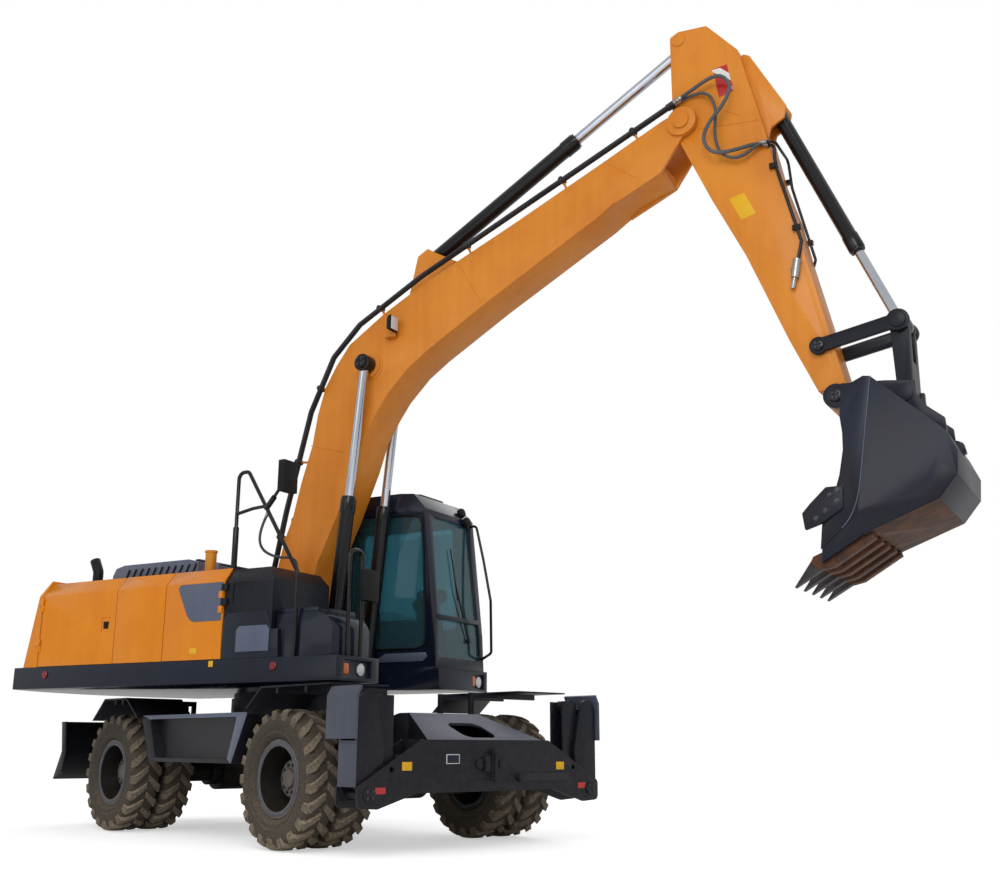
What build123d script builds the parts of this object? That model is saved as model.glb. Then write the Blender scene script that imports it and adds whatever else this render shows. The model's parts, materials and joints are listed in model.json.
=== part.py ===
import math
import os

from build123d import *

os.makedirs("parts", exist_ok=True)

# Where the slew axis stands from the origin, which is on the floor under the middle of the whole machine.
slew_x = -1645
slew_y = -215
slew_angle = 17.6

# Fits.
pin_play = 0.05
rod_play = 0.05
side_gap = 6
door_gap = 8

# Undercarriage.
front_axle_x = 1600
rear_axle_x = -1200
tyre_r = 518
tyre_width = 278
rim_r = 254
flange_r = 290
twin_mid = 954
twin_pitch = 320
kingpin_y = 590
spindle_r = 80
frame_half = 350
turret_r = 620
deck_high = 1015
beam_face = 2632
beam_depth = 270
plate = 20
leg_pin_y = 1130
leg_pin_z = 430
leg_pin_r = 30
foot_hinge = (1140, 1050)

# Upper structure, in its own frame: x along the boom, y to the left.
half_width = 1250
rail_low = 1266
rail_top = 1465
tail_r = 2750
tail_x = -2140
seam_rear = -1150
seam_mid = -544
seam_front = 138
panel_top = 2130
roof_z = 2255
roof_half = 1150
shell = 20

# Working gear pins, x and z in the boom's plane.
foot = (40, 1970)
ram_base = (545, 1440)
ram_eye = (834, 4266)
nose = (4050, 5960)
tail_pin = (4035, 6785)
arm_ram_base = (1400, 5300)
bucket_ram_base = (4845, 5880)
rocker_pin = (5078, 3755)
link_pin = (5678, 3861)
bucket_link = (5684, 3282)
bucket_pin = (5184, 3334)
boom_half = 195
boom_wall = 16
arm_half = 160
ram_y = 285
ram_r = 66
ram_rod_r = 43
eye_half = 58
link_pin_r = 38


def block(x, y, z, mode=Mode.ADD):
    with Locations(((x[0] + x[1]) / 2, (y[0] + y[1]) / 2, (z[0] + z[1]) / 2)):
        Box(x[1] - x[0], y[1] - y[0], z[1] - z[0], mode=mode)


def outline(points, radius=0):
    with BuildLine(mode=Mode.PRIVATE) as path:
        if radius:
            FilletPolyline(*points, radius=radius, close=True)
        else:
            Polyline(*points, close=True)
    make_face(path.edges())


def slab(points, y, radius=0, mode=Mode.ADD):
    """Closed outline in x and z, between two y values."""
    with BuildSketch(Plane.XZ.offset(-y[1]), mode=Mode.PRIVATE) as face:
        outline(points, radius)
    extrude(face.sketch, amount=y[1] - y[0], mode=mode)


def hollow(points, y, wall):
    with BuildSketch(Plane.XZ.offset(wall - y[1]), mode=Mode.PRIVATE) as face:
        outline(points)
        offset(amount=-wall, kind=Kind.INTERSECTION)
    extrude(face.sketch, amount=y[1] - y[0] - 2 * wall, mode=Mode.SUBTRACT)


def wall(points, x, radius=0, mode=Mode.ADD):
    """Closed outline in y and z, between two x values."""
    with BuildSketch(Plane.YZ.offset(x[0]), mode=Mode.PRIVATE) as face:
        outline(points, radius)
    extrude(face.sketch, amount=x[1] - x[0], mode=mode)


def layer(points, z, radius=0, mode=Mode.ADD):
    """Closed outline in x and y, between two heights."""
    with BuildSketch(Plane.XY.offset(z[0]), mode=Mode.PRIVATE) as face:
        outline(points, radius)
    extrude(face.sketch, amount=z[1] - z[0], mode=mode)


def rod(start, end, radius, mode=Mode.ADD):
    a, b = Vector(*start), Vector(*end)
    with BuildSketch(Plane(origin=a, z_dir=b - a), mode=Mode.PRIVATE) as face:
        Circle(radius)
    extrude(face.sketch, amount=(b - a).length, mode=mode)


def disc(pin, y, radius, mode=Mode.ADD):
    rod((pin[0], y[0], pin[1]), (pin[0], y[1], pin[1]), radius, mode)


def pipe(points, radius, bend):
    with BuildLine(mode=Mode.PRIVATE) as path:
        FilletPolyline(*points, radius=bend)
    with BuildSketch(Plane(path.line @ 0, z_dir=path.line % 0), mode=Mode.PRIVATE) as ring:
        Circle(radius)
    sweep(ring.sketch, path=path.line)


def between(a, b, share):
    return (a[0] + (b[0] - a[0]) * share, a[1] + (b[1] - a[1]) * share)


def ahead(a, b, distance):
    return between(a, b, distance / math.dist(a, b))


def side(point, y):
    return (point[0], y, point[1])


def ram_barrel(base, eye, y, radius, rod_radius, half, pin_r, length, bore):
    """Barrel with an eye on its base pin, a gland at its end and a bore for the rod."""
    disc(base, (y - half, y + half), radius * 1.12)
    rod(side(ahead(base, eye, radius * 0.6), y), side(ahead(base, eye, length), y), radius)
    rod(side(ahead(base, eye, length - 150), y), side(ahead(base, eye, length - 20), y), radius * 1.1)
    disc(base, (y - radius * 1.2, y + radius * 1.2), pin_r + pin_play, Mode.SUBTRACT)
    rod(side(ahead(base, eye, length - bore), y), side(ahead(base, eye, length), y), rod_radius + rod_play, Mode.SUBTRACT)


def ram_rod(base, eye, y, rod_radius, half, eye_r, reach):
    """Rod from well inside the barrel to a closed eye."""
    rod(side(ahead(eye, base, eye_r * 0.5), y), side(ahead(eye, base, reach), y), rod_radius)
    disc(eye, (y - half, y + half), eye_r)


def turned(part):
    return part.rotate(Axis.Z, slew_angle)


def save(part, name):
    placed = part.moved(Location((slew_x, slew_y, 0)))
    placed.label = name
    export_step(placed, f"parts/{name}.step")


blade_pin = (-1640, 440)
blade_ram_base, blade_ram_eye = (-1830, 915), (-2230, 670)

# Undercarriage.
deck_rear = 2100
with BuildPart() as chassis:
    slab([(-1780, 500), (-1480, 500), (-1400, 690), (-1000, 690), (-900, 560), (1150, 560), (1260, 690),
          (1940, 690), (2020, 600), (beam_face - beam_depth, 600), (beam_face - beam_depth, 700), (deck_rear, 700),
          (deck_rear, deck_high), (1960, deck_high), (1700, 955), (-1600, 955), (-1780, 860)],
         (-frame_half, frame_half))
    block((250, 850), (-190, 190), (435, 561))
    rod((600, 0, 470), (1150, 0, 500), 45)
    layer([(-800, -frame_half), (-500, -600), (500, -600), (800, -frame_half), (800, frame_half), (500, 600),
           (-500, 600), (-800, frame_half)], (820, 955))
    rod((0, 0, 900), (0, 0, 1175), turret_r)
    rod((0, 0, 1100), (0, 0, 1222), 600)
    rod((0, 0, 700), (0, 0, 1222), 400, Mode.SUBTRACT)
    for x in (front_axle_x, rear_axle_x):
        block((x - 90, x + 90), (-300, 300), (560, 700))
        rod((x, -400, tyre_r), (x, 400, tyre_r), 175, Mode.SUBTRACT)
    for y in (-1, 1):
        for lug in (y * 400 - 58, y * 400 + 58):
            slab([(-1700, 860), (-1700, 955), (-1830, 955), (-1870, 915), (-1830, 870)], (lug - 10, lug + 10))
        disc(blade_ram_base, (y * 400 - 60, y * 400 + 60), 25)
        block((-1750, -1700), sorted((y * 330, y * 470)), (860, 955))
        block((-1700, -1580), (min(y * 340, y * 469), max(y * 340, y * 469)), (380, 560))
        disc(blade_pin, sorted((y * 469, y * 525)), 30)
save(chassis.part, "chassis_frame")

plate_face = [(-650, 808), (650, 808), (1225, 490), (1225, 340), (1050, 330), (700, 430), (-700, 430),
              (-1050, 330), (-1225, 340), (-1225, 490)]


def deck_plan(inset):
    return [(deck_rear + inset, inset - 365), (beam_face + 1, inset - 600), (beam_face + 1, 600 - inset),
            (deck_rear + inset, 365 - inset)]


def deck_wedge(inset):
    slab([(deck_rear, 702 - inset), (deck_rear, deck_high - inset), (beam_face - plate, 808 - inset),
          (beam_face - plate, 702 - inset)], (-620, 620))
    layer(deck_plan(inset), (600, 1100), mode=Mode.INTERSECT)


with BuildPart() as core:
    deck_wedge(plate)
with BuildPart() as wedge:
    deck_wedge(0)
    add(core.part, mode=Mode.SUBTRACT)
    layer([(2290, -165), (2570, -165), (2570, 165), (2290, 165)], (600, 1100), 80, Mode.SUBTRACT)

with BuildPart() as beam:
    for x in (beam_face - plate, beam_face - beam_depth):
        wall(plate_face, (x, x + plate), radius=40)
    inner = (beam_face - beam_depth + plate, beam_face - plate)
    block(inner, (-640, 640), (788, 808))
    add(wedge.part)
    layer([(2400, -165), (2570, -165), (2570, 165), (2400, 165)], (700, 1100), 80, Mode.SUBTRACT)
    block(inner, (-640, 640), (435, 455))
    for y in (-1, 1):
        block(inner, (y * 640 - 10, y * 640 + 10), (435, 808))
        block((inner[0] + 40, inner[0] + 60), (y * 960 - 80, y * 960 + 80), (520, 1120))
        block((inner[1] - 60, inner[1] - 40), (y * 960 - 80, y * 960 + 80), (520, 1120))
        block((inner[0], inner[1]), (y * 865 - 15, y * 865 + 15), (520, 700))
        rod((inner[0] - 10, y * leg_pin_y, leg_pin_z), (inner[1] + 10, y * leg_pin_y, leg_pin_z), leg_pin_r)
        rod((inner[0] + 50, y * 960, 1080), (inner[1] - 50, y * 960, 1080), 25)
        rod((beam_face - plate, y * 933, 598), (beam_face, y * 933, 598), 20, Mode.SUBTRACT)
        rod((beam_face, y * leg_pin_y, leg_pin_z), (beam_face + 14, y * leg_pin_y, leg_pin_z), 52)
    for z in (512, 712):
        block((beam_face, beam_face + 62), (5, 85), (z, z + 18))
    rod((beam_face + 36, 45, 498), (beam_face + 36, 45, 744), 15)
    rod((beam_face, -100, 631), (beam_face + 22, -100, 631), 38)
    rod((beam_face, 128, 631), (beam_face + 16, 128, 631), 32)
    block((beam_face, beam_face + 34), (-62, -12), (575, 690))
    block((beam_face, beam_face + 26), (300, 850), (502, 556))
    rod((beam_face, 320, 529), (beam_face + 44, 320, 529), 34)
save(beam.part, "outrigger_beam")

leg_x = (beam_face - beam_depth + plate + side_gap, beam_face - plate - side_gap)
leg_mid = (leg_x[0] + leg_x[1]) / 2
ram_foot = (1165, 627)
ram_head = (960, 1080)
for s, name in ((1, "left"), (-1, "right")):
    def at(y, z):
        return (s * y, z)

    with BuildPart() as leg:
        for x in (leg_x[0], leg_x[1] - 24):
            wall([at(1085, 378), at(1175, 378), at(1228, 500), at(1228, foot_hinge[1]), at(1052, foot_hinge[1]),
                  at(980, 735), at(1000, 560), at(1050, 420)], (x, x + 24))
            rod((x, s * foot_hinge[0], foot_hinge[1]), (x + 24, s * foot_hinge[0], foot_hinge[1]), 88)
        block(leg_x, sorted((s * 1208, s * 1228)), (480, 800))
        for x in ((leg_x[0], leg_mid - 41), (leg_mid + 41, leg_x[1])):
            rod((x[0], s * ram_foot[0], ram_foot[1]), (x[1], s * ram_foot[0], ram_foot[1]), 30)
        rod((leg_x[0], s * leg_pin_y, leg_pin_z), (leg_x[1], s * leg_pin_y, leg_pin_z), leg_pin_r + pin_play,
            Mode.SUBTRACT)
        rod((leg_x[0] + 10, s * foot_hinge[0], foot_hinge[1]), (leg_x[1] - 10, s * foot_hinge[0], foot_hinge[1]), 24)
    save(leg.part, f"outrigger_leg_{name}")

    with BuildPart() as foot_pad:
        wall([at(1262, 810), at(1262, 1111), at(1225, 1182), at(1206, 1171), at(1240, 1105), at(1240, 810)],
             (leg_mid - 227, leg_mid + 133))
        for x in (leg_mid - 70, leg_mid + 70):
            wall([at(1241, 945), at(1241, 1104), at(1120, 1085), at(1110, 1050), at(1120, 1015)], (x - 10, x + 10),
                 radius=6)
        rod((leg_mid - 90, s * foot_hinge[0], foot_hinge[1]), (leg_mid + 90, s * foot_hinge[0], foot_hinge[1]),
            24 + pin_play, Mode.SUBTRACT)
    save(foot_pad.part, f"outrigger_foot_{name}")

    reach = math.dist(ram_foot, ram_head)
    with BuildPart() as cylinder:
        a = Vector(leg_mid, s * ram_head[0], ram_head[1])
        b = Vector(leg_mid, s * ram_foot[0], ram_foot[1])
        u = (b - a).normalized()
        rod(a - Vector(40, 0, 0), a + Vector(40, 0, 0), 50)
        rod(a + u * 30, a + u * (reach - 75), 42)
        rod(a - Vector(40, 0, 0), a + Vector(40, 0, 0), 25 + pin_play, Mode.SUBTRACT)
        rod(a + u * 60, a + u * (reach - 75), 25 + rod_play, Mode.SUBTRACT)
    save(cylinder.part, f"outrigger_barrel_{name}")

    with BuildPart() as piston:
        rod(a + u * 62, b - u * 20, 25)
        rod(b - Vector(35, 0, 0), b + Vector(35, 0, 0), 38)
    save(piston.part, f"outrigger_rod_{name}")


def axle(x, half):
    rod((x, -half, tyre_r), (x, half, tyre_r), 95)
    rod((x, -150, tyre_r), (x, 150, tyre_r), 175)
    for y in (-1, 1):
        rod((x, y * 150, tyre_r), (x, y * 250, tyre_r), 130)


with BuildPart() as axles:
    axle(front_axle_x, kingpin_y - 90)
    for y in (-1, 1):
        for z in (-1, 1):
            block((front_axle_x - 60, front_axle_x + 60), sorted((y * (kingpin_y - 100), y * (kingpin_y + 50))),
                  sorted((tyre_r + z * 110, tyre_r + z * 150)))
        block((front_axle_x - 60, front_axle_x + 60), sorted((y * (kingpin_y - 100), y * (kingpin_y - 75))),
              (tyre_r - 150, tyre_r + 150))
        rod((front_axle_x, y * kingpin_y, tyre_r - 150), (front_axle_x, y * kingpin_y, tyre_r + 150), 28)
    axle(rear_axle_x, 700)
    for y in (-1, 1):
        rod((rear_axle_x, y * 600, tyre_r), (rear_axle_x, y * 930, tyre_r), spindle_r)
save(axles.part, "axles")

for s, name in ((1, "left"), (-1, "right")):
    with BuildPart() as knuckle:
        block((front_axle_x - 45, front_axle_x + 45), sorted((s * (kingpin_y - 50), s * (kingpin_y + 50))),
              (tyre_r - 104, tyre_r + 104))
        rod((front_axle_x, s * (kingpin_y + 40), tyre_r), (front_axle_x, s * 645, tyre_r), 104)
        rod((front_axle_x, s * 630, tyre_r), (front_axle_x, s * 930, tyre_r), spindle_r)
        rod((front_axle_x, s * kingpin_y, tyre_r - 105), (front_axle_x, s * kingpin_y, tyre_r + 105),
            28 + pin_play, Mode.SUBTRACT)
    save(knuckle.part, f"steering_knuckle_{name}")

half_section = [(94, rim_r), (94, flange_r + 2), (tyre_width / 2, 340), (tyre_width / 2, 420), (120, 500),
                (95, tyre_r)]
tyre_profile = ([(twin_pitch / 2 - y, r) for y, r in half_section]
                + [(twin_pitch / 2 + y, r) for y, r in reversed(half_section)])
with BuildPart() as tyre:
    with BuildSketch(Plane.YZ, mode=Mode.PRIVATE) as section:
        outline(tyre_profile)
    revolve(section.sketch, axis=Axis.Y)
    mirror(about=Plane.XZ)


def spun(points, mode=Mode.ADD):
    """Ring about the y axis from an outline in y and radius."""
    with BuildSketch(Plane.YZ, mode=Mode.PRIVATE) as section:
        outline(points)
    revolve(section.sketch, axis=Axis.Y, mode=mode)


rim_in, rim_out = twin_pitch / 2 - 108, twin_pitch / 2 + 108
with BuildPart() as rim:
    spun([(rim_in, rim_r - 14), (rim_in, flange_r), (rim_in + 12, flange_r), (rim_in + 12, rim_r),
          (rim_out - 12, rim_r), (rim_out - 12, flange_r), (rim_out, flange_r), (rim_out, rim_r - 14)])
    mirror(about=Plane.XZ)
    spun([(-rim_in, rim_r - 14), (-rim_in, rim_r), (rim_in, rim_r), (rim_in, rim_r - 14)])
    spun([(0, 120), (0, rim_r - 7), (18, rim_r - 7), (60, 185), (60, 120)])
    spun([(-60, spindle_r + pin_play), (-60, 175), (60, 175), (76, 148), (140, 140), (152, 126), (152, 78), (176, 66),
          (182, 0), (-20, 0), (-20, spindle_r + pin_play)])
    for i in range(8):
        a = math.radians(45 * i + 22.5)
        rod((157 * math.cos(a), 60, 157 * math.sin(a)), (157 * math.cos(a), 84, 157 * math.sin(a)), 11)
for s, name in ((1, "left"), (-1, "right")):
    for x, end in ((front_axle_x, "front"), (rear_axle_x, "rear")):
        place = Location((x, s * twin_mid, tyre_r), (0, 0, 0 if s > 0 else 180))
        save(tyre.part.moved(place), f"tyre_{end}_{name}")
        save(rim.part.moved(place), f"rim_{end}_{name}")

with BuildPart() as fenders:
    for s in (-1, 1):
        slab([(1120, 1050), (1140, 1050), (1335, 1198), (2250, 1198), (2250, 1210), (1325, 1210)],
             sorted((s * 680, s * 1240)))
        slab([(-1690, 985), (-1670, 985), (-1440, 1170), (-1000, 1170), (-760, 1000), (-740, 1000), (-990, 1185),
              (-1450, 1185)], sorted((s * 680, s * 1240)))
        for x in (-1300, -1150, 1500, 1900):
            top = 1171 if x < 0 else 1199
            block((x - 15, x + 15), sorted((s * frame_half, s * 480)), (900, 950))
            block((x - 15, x + 15), sorted((s * 440, s * 480)), (900, top))
            block((x - 15, x + 15), sorted((s * 440, s * 1200)), (top - 45, top))
save(fenders.part, "fenders")

with BuildPart() as step_boxes:
    for s in (-1, 1):
        slab([(-745, 1020), (1085, 1020), (870, 620), (-550, 620)], sorted((s * 760, s * 1200)), radius=15)
        block((-500, 800), sorted((s * frame_half, s * 765)), (760, 800))
        with Locations((front_axle_x, s * kingpin_y, 765)):
            Cone(890, 720, 530, mode=Mode.SUBTRACT)
        with Locations((rear_axle_x, s * 980, tyre_r)):
            Cylinder(tyre_r + 40, 700, rotation=(90, 0, 0), mode=Mode.SUBTRACT)
        slab([(-570, 985), (925, 985), (805, 655), (-425, 655)], sorted((s * 1120, s * 1210)), radius=15,
             mode=Mode.SUBTRACT)
save(step_boxes.part, "step_boxes")

with BuildPart() as blade:
    with BuildSketch(Plane.XZ.offset(-1225), mode=Mode.PRIVATE) as curve:
        with BuildLine():
            ThreePointArc((-2497, 430), (-2330, 700), (-2400, 985))
            Line((-2400, 985), (-2380, 985))
            ThreePointArc((-2380, 985), (-2305, 700), (-2465, 430))
            Line((-2465, 430), (-2497, 430))
        make_face()
    extrude(curve.sketch, amount=2450)
    for s in (-1, 1):
        slab([(-2497, 430), (-2300, 500), (-2250, 700), (-2300, 985), (-2400, 985), (-2340, 700)],
             sorted((s * 1215, s * 1235)))
        slab([(-2360, 520), (-2360, 620), (-1600, 500), (-1580, 440), (-1600, 385), (-1660, 380)],
             (s * 500 - 25, s * 500 + 25), radius=15)
        disc(blade_pin, (s * 500 - 25, s * 500 + 25), 30 + pin_play, Mode.SUBTRACT)
        for y in (s * 400 - 45, s * 400 + 45):
            slab([(-2325, 560), (-2325, 800), (-2200, 700), (-2195, 645), (-2240, 620)], (y - 10, y + 10))
save(blade.part, "dozer_blade")

with BuildPart() as blade_barrels:
    for s in (-1, 1):
        ram_barrel(blade_ram_base, blade_ram_eye, s * 400, 42, 25, 29, 25, 400, 350)
save(blade_barrels.part, "blade_ram_barrels")
with BuildPart() as blade_rods:
    for s in (-1, 1):
        ram_rod(blade_ram_base, blade_ram_eye, s * 400, 25, 29, 40, 380)
save(blade_rods.part, "blade_ram_rods")

# Boom.
boom_top = [(-125, 2000), (-184, 2380), (-110, 2669), (-29, 2862), (61, 3210), (173, 3559), (226, 3867),
            (303, 4124), (424, 4326), (575, 4521), (748, 4627), (976, 4772), (1436, 4998), (2372, 5376),
            (3315, 5777), (3660, 5930)]
pipe_path = [(-235, 2290), (-100, 2930), (150, 3900), (400, 4420), (700, 4705), (1405, 5068), (3640, 6003),
             (3990, 6150)]
pipe_lines = ((184, 13), (222, 16))
clamp_spots = (((-150, 2693), (-95, 2672)), ((25, 3415), (140, 3405)), ((258, 4124), (318, 4118)),
               ((940, 4828), (980, 4755)), ((1900, 5275), (1937, 5190)), ((2900, 5693), (2933, 5605)),
               ((3600, 5986), (3636, 5905)))
boom_low = [(3840, 5538), (3514, 5434), (3241, 5261), (2921, 5094), (2134, 4687), (1478, 4320), (1260, 4176),
            (1042, 3965), (915, 3788), (790, 3579), (698, 3310), (498, 2837), (296, 2419), (190, 2030)]
with BuildPart() as boom:
    slab(boom_top + [(3850, 5620)] + boom_low, (-boom_half, boom_half))
    hollow(boom_top + [(3850, 5620)] + boom_low, (-boom_half, boom_half), boom_wall)
    disc(foot, (-boom_half, boom_half), 165)
    for s in (-1, 1):
        slab([(3400, 5814), (3860, 6017), (nose[0], nose[1] + 120), (nose[0] + 120, nose[1]), (nose[0], nose[1] - 130),
              (3840, 5538), (3400, 5350)], sorted((s * (arm_half + side_gap), s * boom_half)))
        disc(nose, sorted((s * (arm_half + side_gap), s * (boom_half + 30))), 130)
        disc(ram_eye, sorted((s * boom_half, s * (ram_y - eye_half - side_gap))), 120)
    for s in (-1, 1):
        disc(nose, sorted((s * (boom_half - 1), s * (boom_half + 50))), 70)
    disc(nose, (-arm_half - side_gap, arm_half + side_gap), 55)
    disc(ram_eye, (-boom_half - 8, boom_half + 8), 142)
    for s in (-1, 1):
        for spot, seat in clamp_spots:
            rod(side(seat, s * 183), side(spot, s * 183), 11)
            disc(spot, sorted((s * 164, s * 244)), 25, Mode.SUBTRACT)
        slab([(1180, 4860), (1290, 5330), (1400, 5390), (1490, 5330), (1800, 5150)],
             sorted((s * 78, s * 104)), radius=20)
    disc(arm_ram_base, (-104, 104), 45)
    disc(foot, (-boom_half - 1, boom_half + 1), 60 + pin_play, Mode.SUBTRACT)
save(turned(boom.part), "boom")

with BuildPart() as boom_pipes:
    for s in (-1, 1):
        for y, radius in pipe_lines:
            pipe([(x, s * y, z) for x, z in pipe_path], radius, 90)
            rod(side(pipe_path[-1], s * y), side(ahead(pipe_path[-1], pipe_path[-2], 70), s * y), radius + 7)
        for spot, seat in clamp_spots:
            disc(spot, sorted((s * 164, s * 244)), 25)
save(turned(boom_pipes.part), "boom_pipes")

hose_a = [(3990, -222, 6150), (4110, -222, 6200.4), (4400, -262, 6300), (4530, -275, 6150), (4460, -280, 5980),
          (4300, -280, 5830), (4250, -280, 5680), (4340, -272, 5545), (4520, -250, 5545), (4700, -178, 5600),
          (4784, -178, 5556)]
hose_b = [(3990, -184, 6150), (4110, -184, 6200.4), (4300, -216, 6170), (4370, -225, 6000), (4350, -225, 5840),
          (4345, -225, 5690), (4400, -225, 5530), (4560, -222, 5470), (4718, -210, 5580), (4780, -210, 5570)]
hose_c = [(475, -1125, 2725), (330, -1060, 2600), (270, -980, 2440), (350, -850, 2370), (440, -740, 2385),
          (425, -640, 2340), (425, -640, 2240)]
for name, route, radius, bend in (("arm_hose_outer", hose_a, 16, 128), ("arm_hose_inner", hose_b, 13, 104),
                                  ("deck_hose", hose_c, 12, 60)):
    with BuildPart() as hose:
        pipe(route, radius, bend)
    print(name, "diameter", 2 * radius, "bend radius", bend)
    save(turned(hose.part), name)

with BuildPart() as boom_rams:
    for s in (-1, 1):
        ram_barrel(ram_base, ram_eye, s * ram_y, ram_r, ram_rod_r, eye_half, 45, 1560, 1420)
save(turned(boom_rams.part), "boom_ram_barrels")
with BuildPart() as boom_rods:
    for s in (-1, 1):
        ram_rod(ram_base, ram_eye, s * ram_y, ram_rod_r, eye_half, 82, 1500)
        disc(ram_eye, sorted((s * (ram_y + eye_half - 1), s * (ram_y + eye_half + 25))), 60)
save(turned(boom_rods.part), "boom_ram_rods")

with BuildPart() as arm_ram:
    ram_barrel(arm_ram_base, tail_pin, 0, 72, 48, 58, 45, 1790, 1600)
save(turned(arm_ram.part), "arm_ram_barrel")
with BuildPart() as arm_rod:
    ram_rod(arm_ram_base, tail_pin, 0, 48, 58, 82, 1500)
save(turned(arm_rod.part), "arm_ram_rod")

# Arm.
with BuildPart() as arm:
    slab([(3955, 6550), (3955, 6100), (4010, 5795), (4271, 5193), (4539, 4631), (4849, 3846), (5047, 3399),
          (5257, 3434), (5159, 3874), (5005, 4564), (4935, 4933), (4831, 5298), (4757, 5687), (4559, 6527),
          (4293, 6845), (4120, 6640)], (-arm_half, arm_half))
    disc(tail_pin, (-eye_half - 8, eye_half + 8), 330, Mode.SUBTRACT)
    for s in (-1, 1):
        slab([(3955, 6500), (3955, 6830), (4035, 6868), (4293, 6845), (4400, 6500)],
             sorted((s * 66, s * arm_half)), radius=30)
        disc(tail_pin, sorted((s * 66, s * (arm_half + 12))), 60)
        slab([(4559, 6527), (4640, 6480), (4925, 5930), (4900, 5820), (4790, 5760), (4740, 5600)],
             sorted((s * 66, s * 92)), radius=20)
    disc(nose, (-arm_half, arm_half), 140)
    disc(bucket_pin, (-arm_half, arm_half), 95)
    disc(rocker_pin, (-arm_half, arm_half), 75)
    disc(rocker_pin, (-arm_half - 55, arm_half + 55), 40)
    disc(bucket_pin, (-arm_half - 65, arm_half + 65), 45)
    disc(bucket_ram_base, (-92, 92), 40)
    disc(nose, (-arm_half - 1, arm_half + 1), 55 + pin_play, Mode.SUBTRACT)
save(turned(arm.part), "arm")

arm_pipe_y = arm_half + 18
with BuildPart() as arm_pipes:
    pipe([(4784, -arm_pipe_y, 5556), (4826, -arm_pipe_y, 5534), (4830, -arm_pipe_y, 5357), (4935, -arm_pipe_y, 4923), (5000, -arm_pipe_y, 4653),
          (4959, -arm_pipe_y, 4487)], 14, 40)
    pipe([(4780, -210, 5570), (4842, -210, 5560), (4842, arm_pipe_y, 5560), (4862, arm_pipe_y, 5300),
          (5015, arm_pipe_y, 4620), (4975, arm_pipe_y, 4500)], 12, 45)
    for x, z in ((4780, 5340), (4935, 4757)):
        for s in (-1, 1):
            block((x, x + 70), sorted((s * arm_half, s * (arm_half + 36))), (z, z + 40))
    rod((4959, -arm_pipe_y - 14, 4500), (4930, -arm_pipe_y - 14, 4350), 32)
    rod((4930, -arm_pipe_y - 14, 4350), (4908, -arm_pipe_y - 14, 4262), 19)
    block((4900, 4955), (-arm_pipe_y - 5, -arm_half), (4395, 4440))
save(turned(arm_pipes.part), "arm_pipes")

with BuildPart() as bucket_ram:
    ram_barrel(bucket_ram_base, link_pin, 0, 60, 40, 58, 40, 1440, 1250)
save(turned(bucket_ram.part), "bucket_ram_barrel")
with BuildPart() as bucket_rod:
    ram_rod(bucket_ram_base, link_pin, 0, 40, 45, 75, 1200)
save(turned(bucket_rod.part), "bucket_ram_rod")

with BuildPart() as rocker:
    for s in (-1, 1):
        y = sorted((s * (arm_half + side_gap), s * (arm_half + side_gap + 40)))
        a = math.degrees(math.atan2(link_pin[1] - rocker_pin[1], link_pin[0] - rocker_pin[0]))
        disc(rocker_pin, y, 70)
        disc(link_pin, y, 85)
        n = Vector(math.sin(math.radians(a)), -math.cos(math.radians(a)))
        slab([(rocker_pin[0] + n.X * 55, rocker_pin[1] + n.Y * 55), (link_pin[0] + n.X * 55, link_pin[1] + n.Y * 55),
              (link_pin[0] - n.X * 55, link_pin[1] - n.Y * 55),
              (rocker_pin[0] - n.X * 55, rocker_pin[1] - n.Y * 55)], y)
        disc(rocker_pin, y, 40 + pin_play, Mode.SUBTRACT)
        disc(link_pin, sorted((s * (arm_half + side_gap), s * (arm_half + side_gap + 52))), 60)
save(turned(rocker.part), "rocker_links")

with BuildPart() as h_link:
    disc(link_pin, (-arm_half, arm_half), 75)
    disc(bucket_link, (-arm_half, arm_half), 62)
    slab([(5610, 3840), (5745, 3840), (5740, 3300), (5628, 3300)], (-arm_half, arm_half))
    block((5500, 5850), (-eye_half - side_gap, eye_half + side_gap), (3560, 4000), Mode.SUBTRACT)
    disc(bucket_link, (-arm_half, arm_half), link_pin_r + pin_play, Mode.SUBTRACT)
save(turned(h_link.part), "bucket_link")

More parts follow.
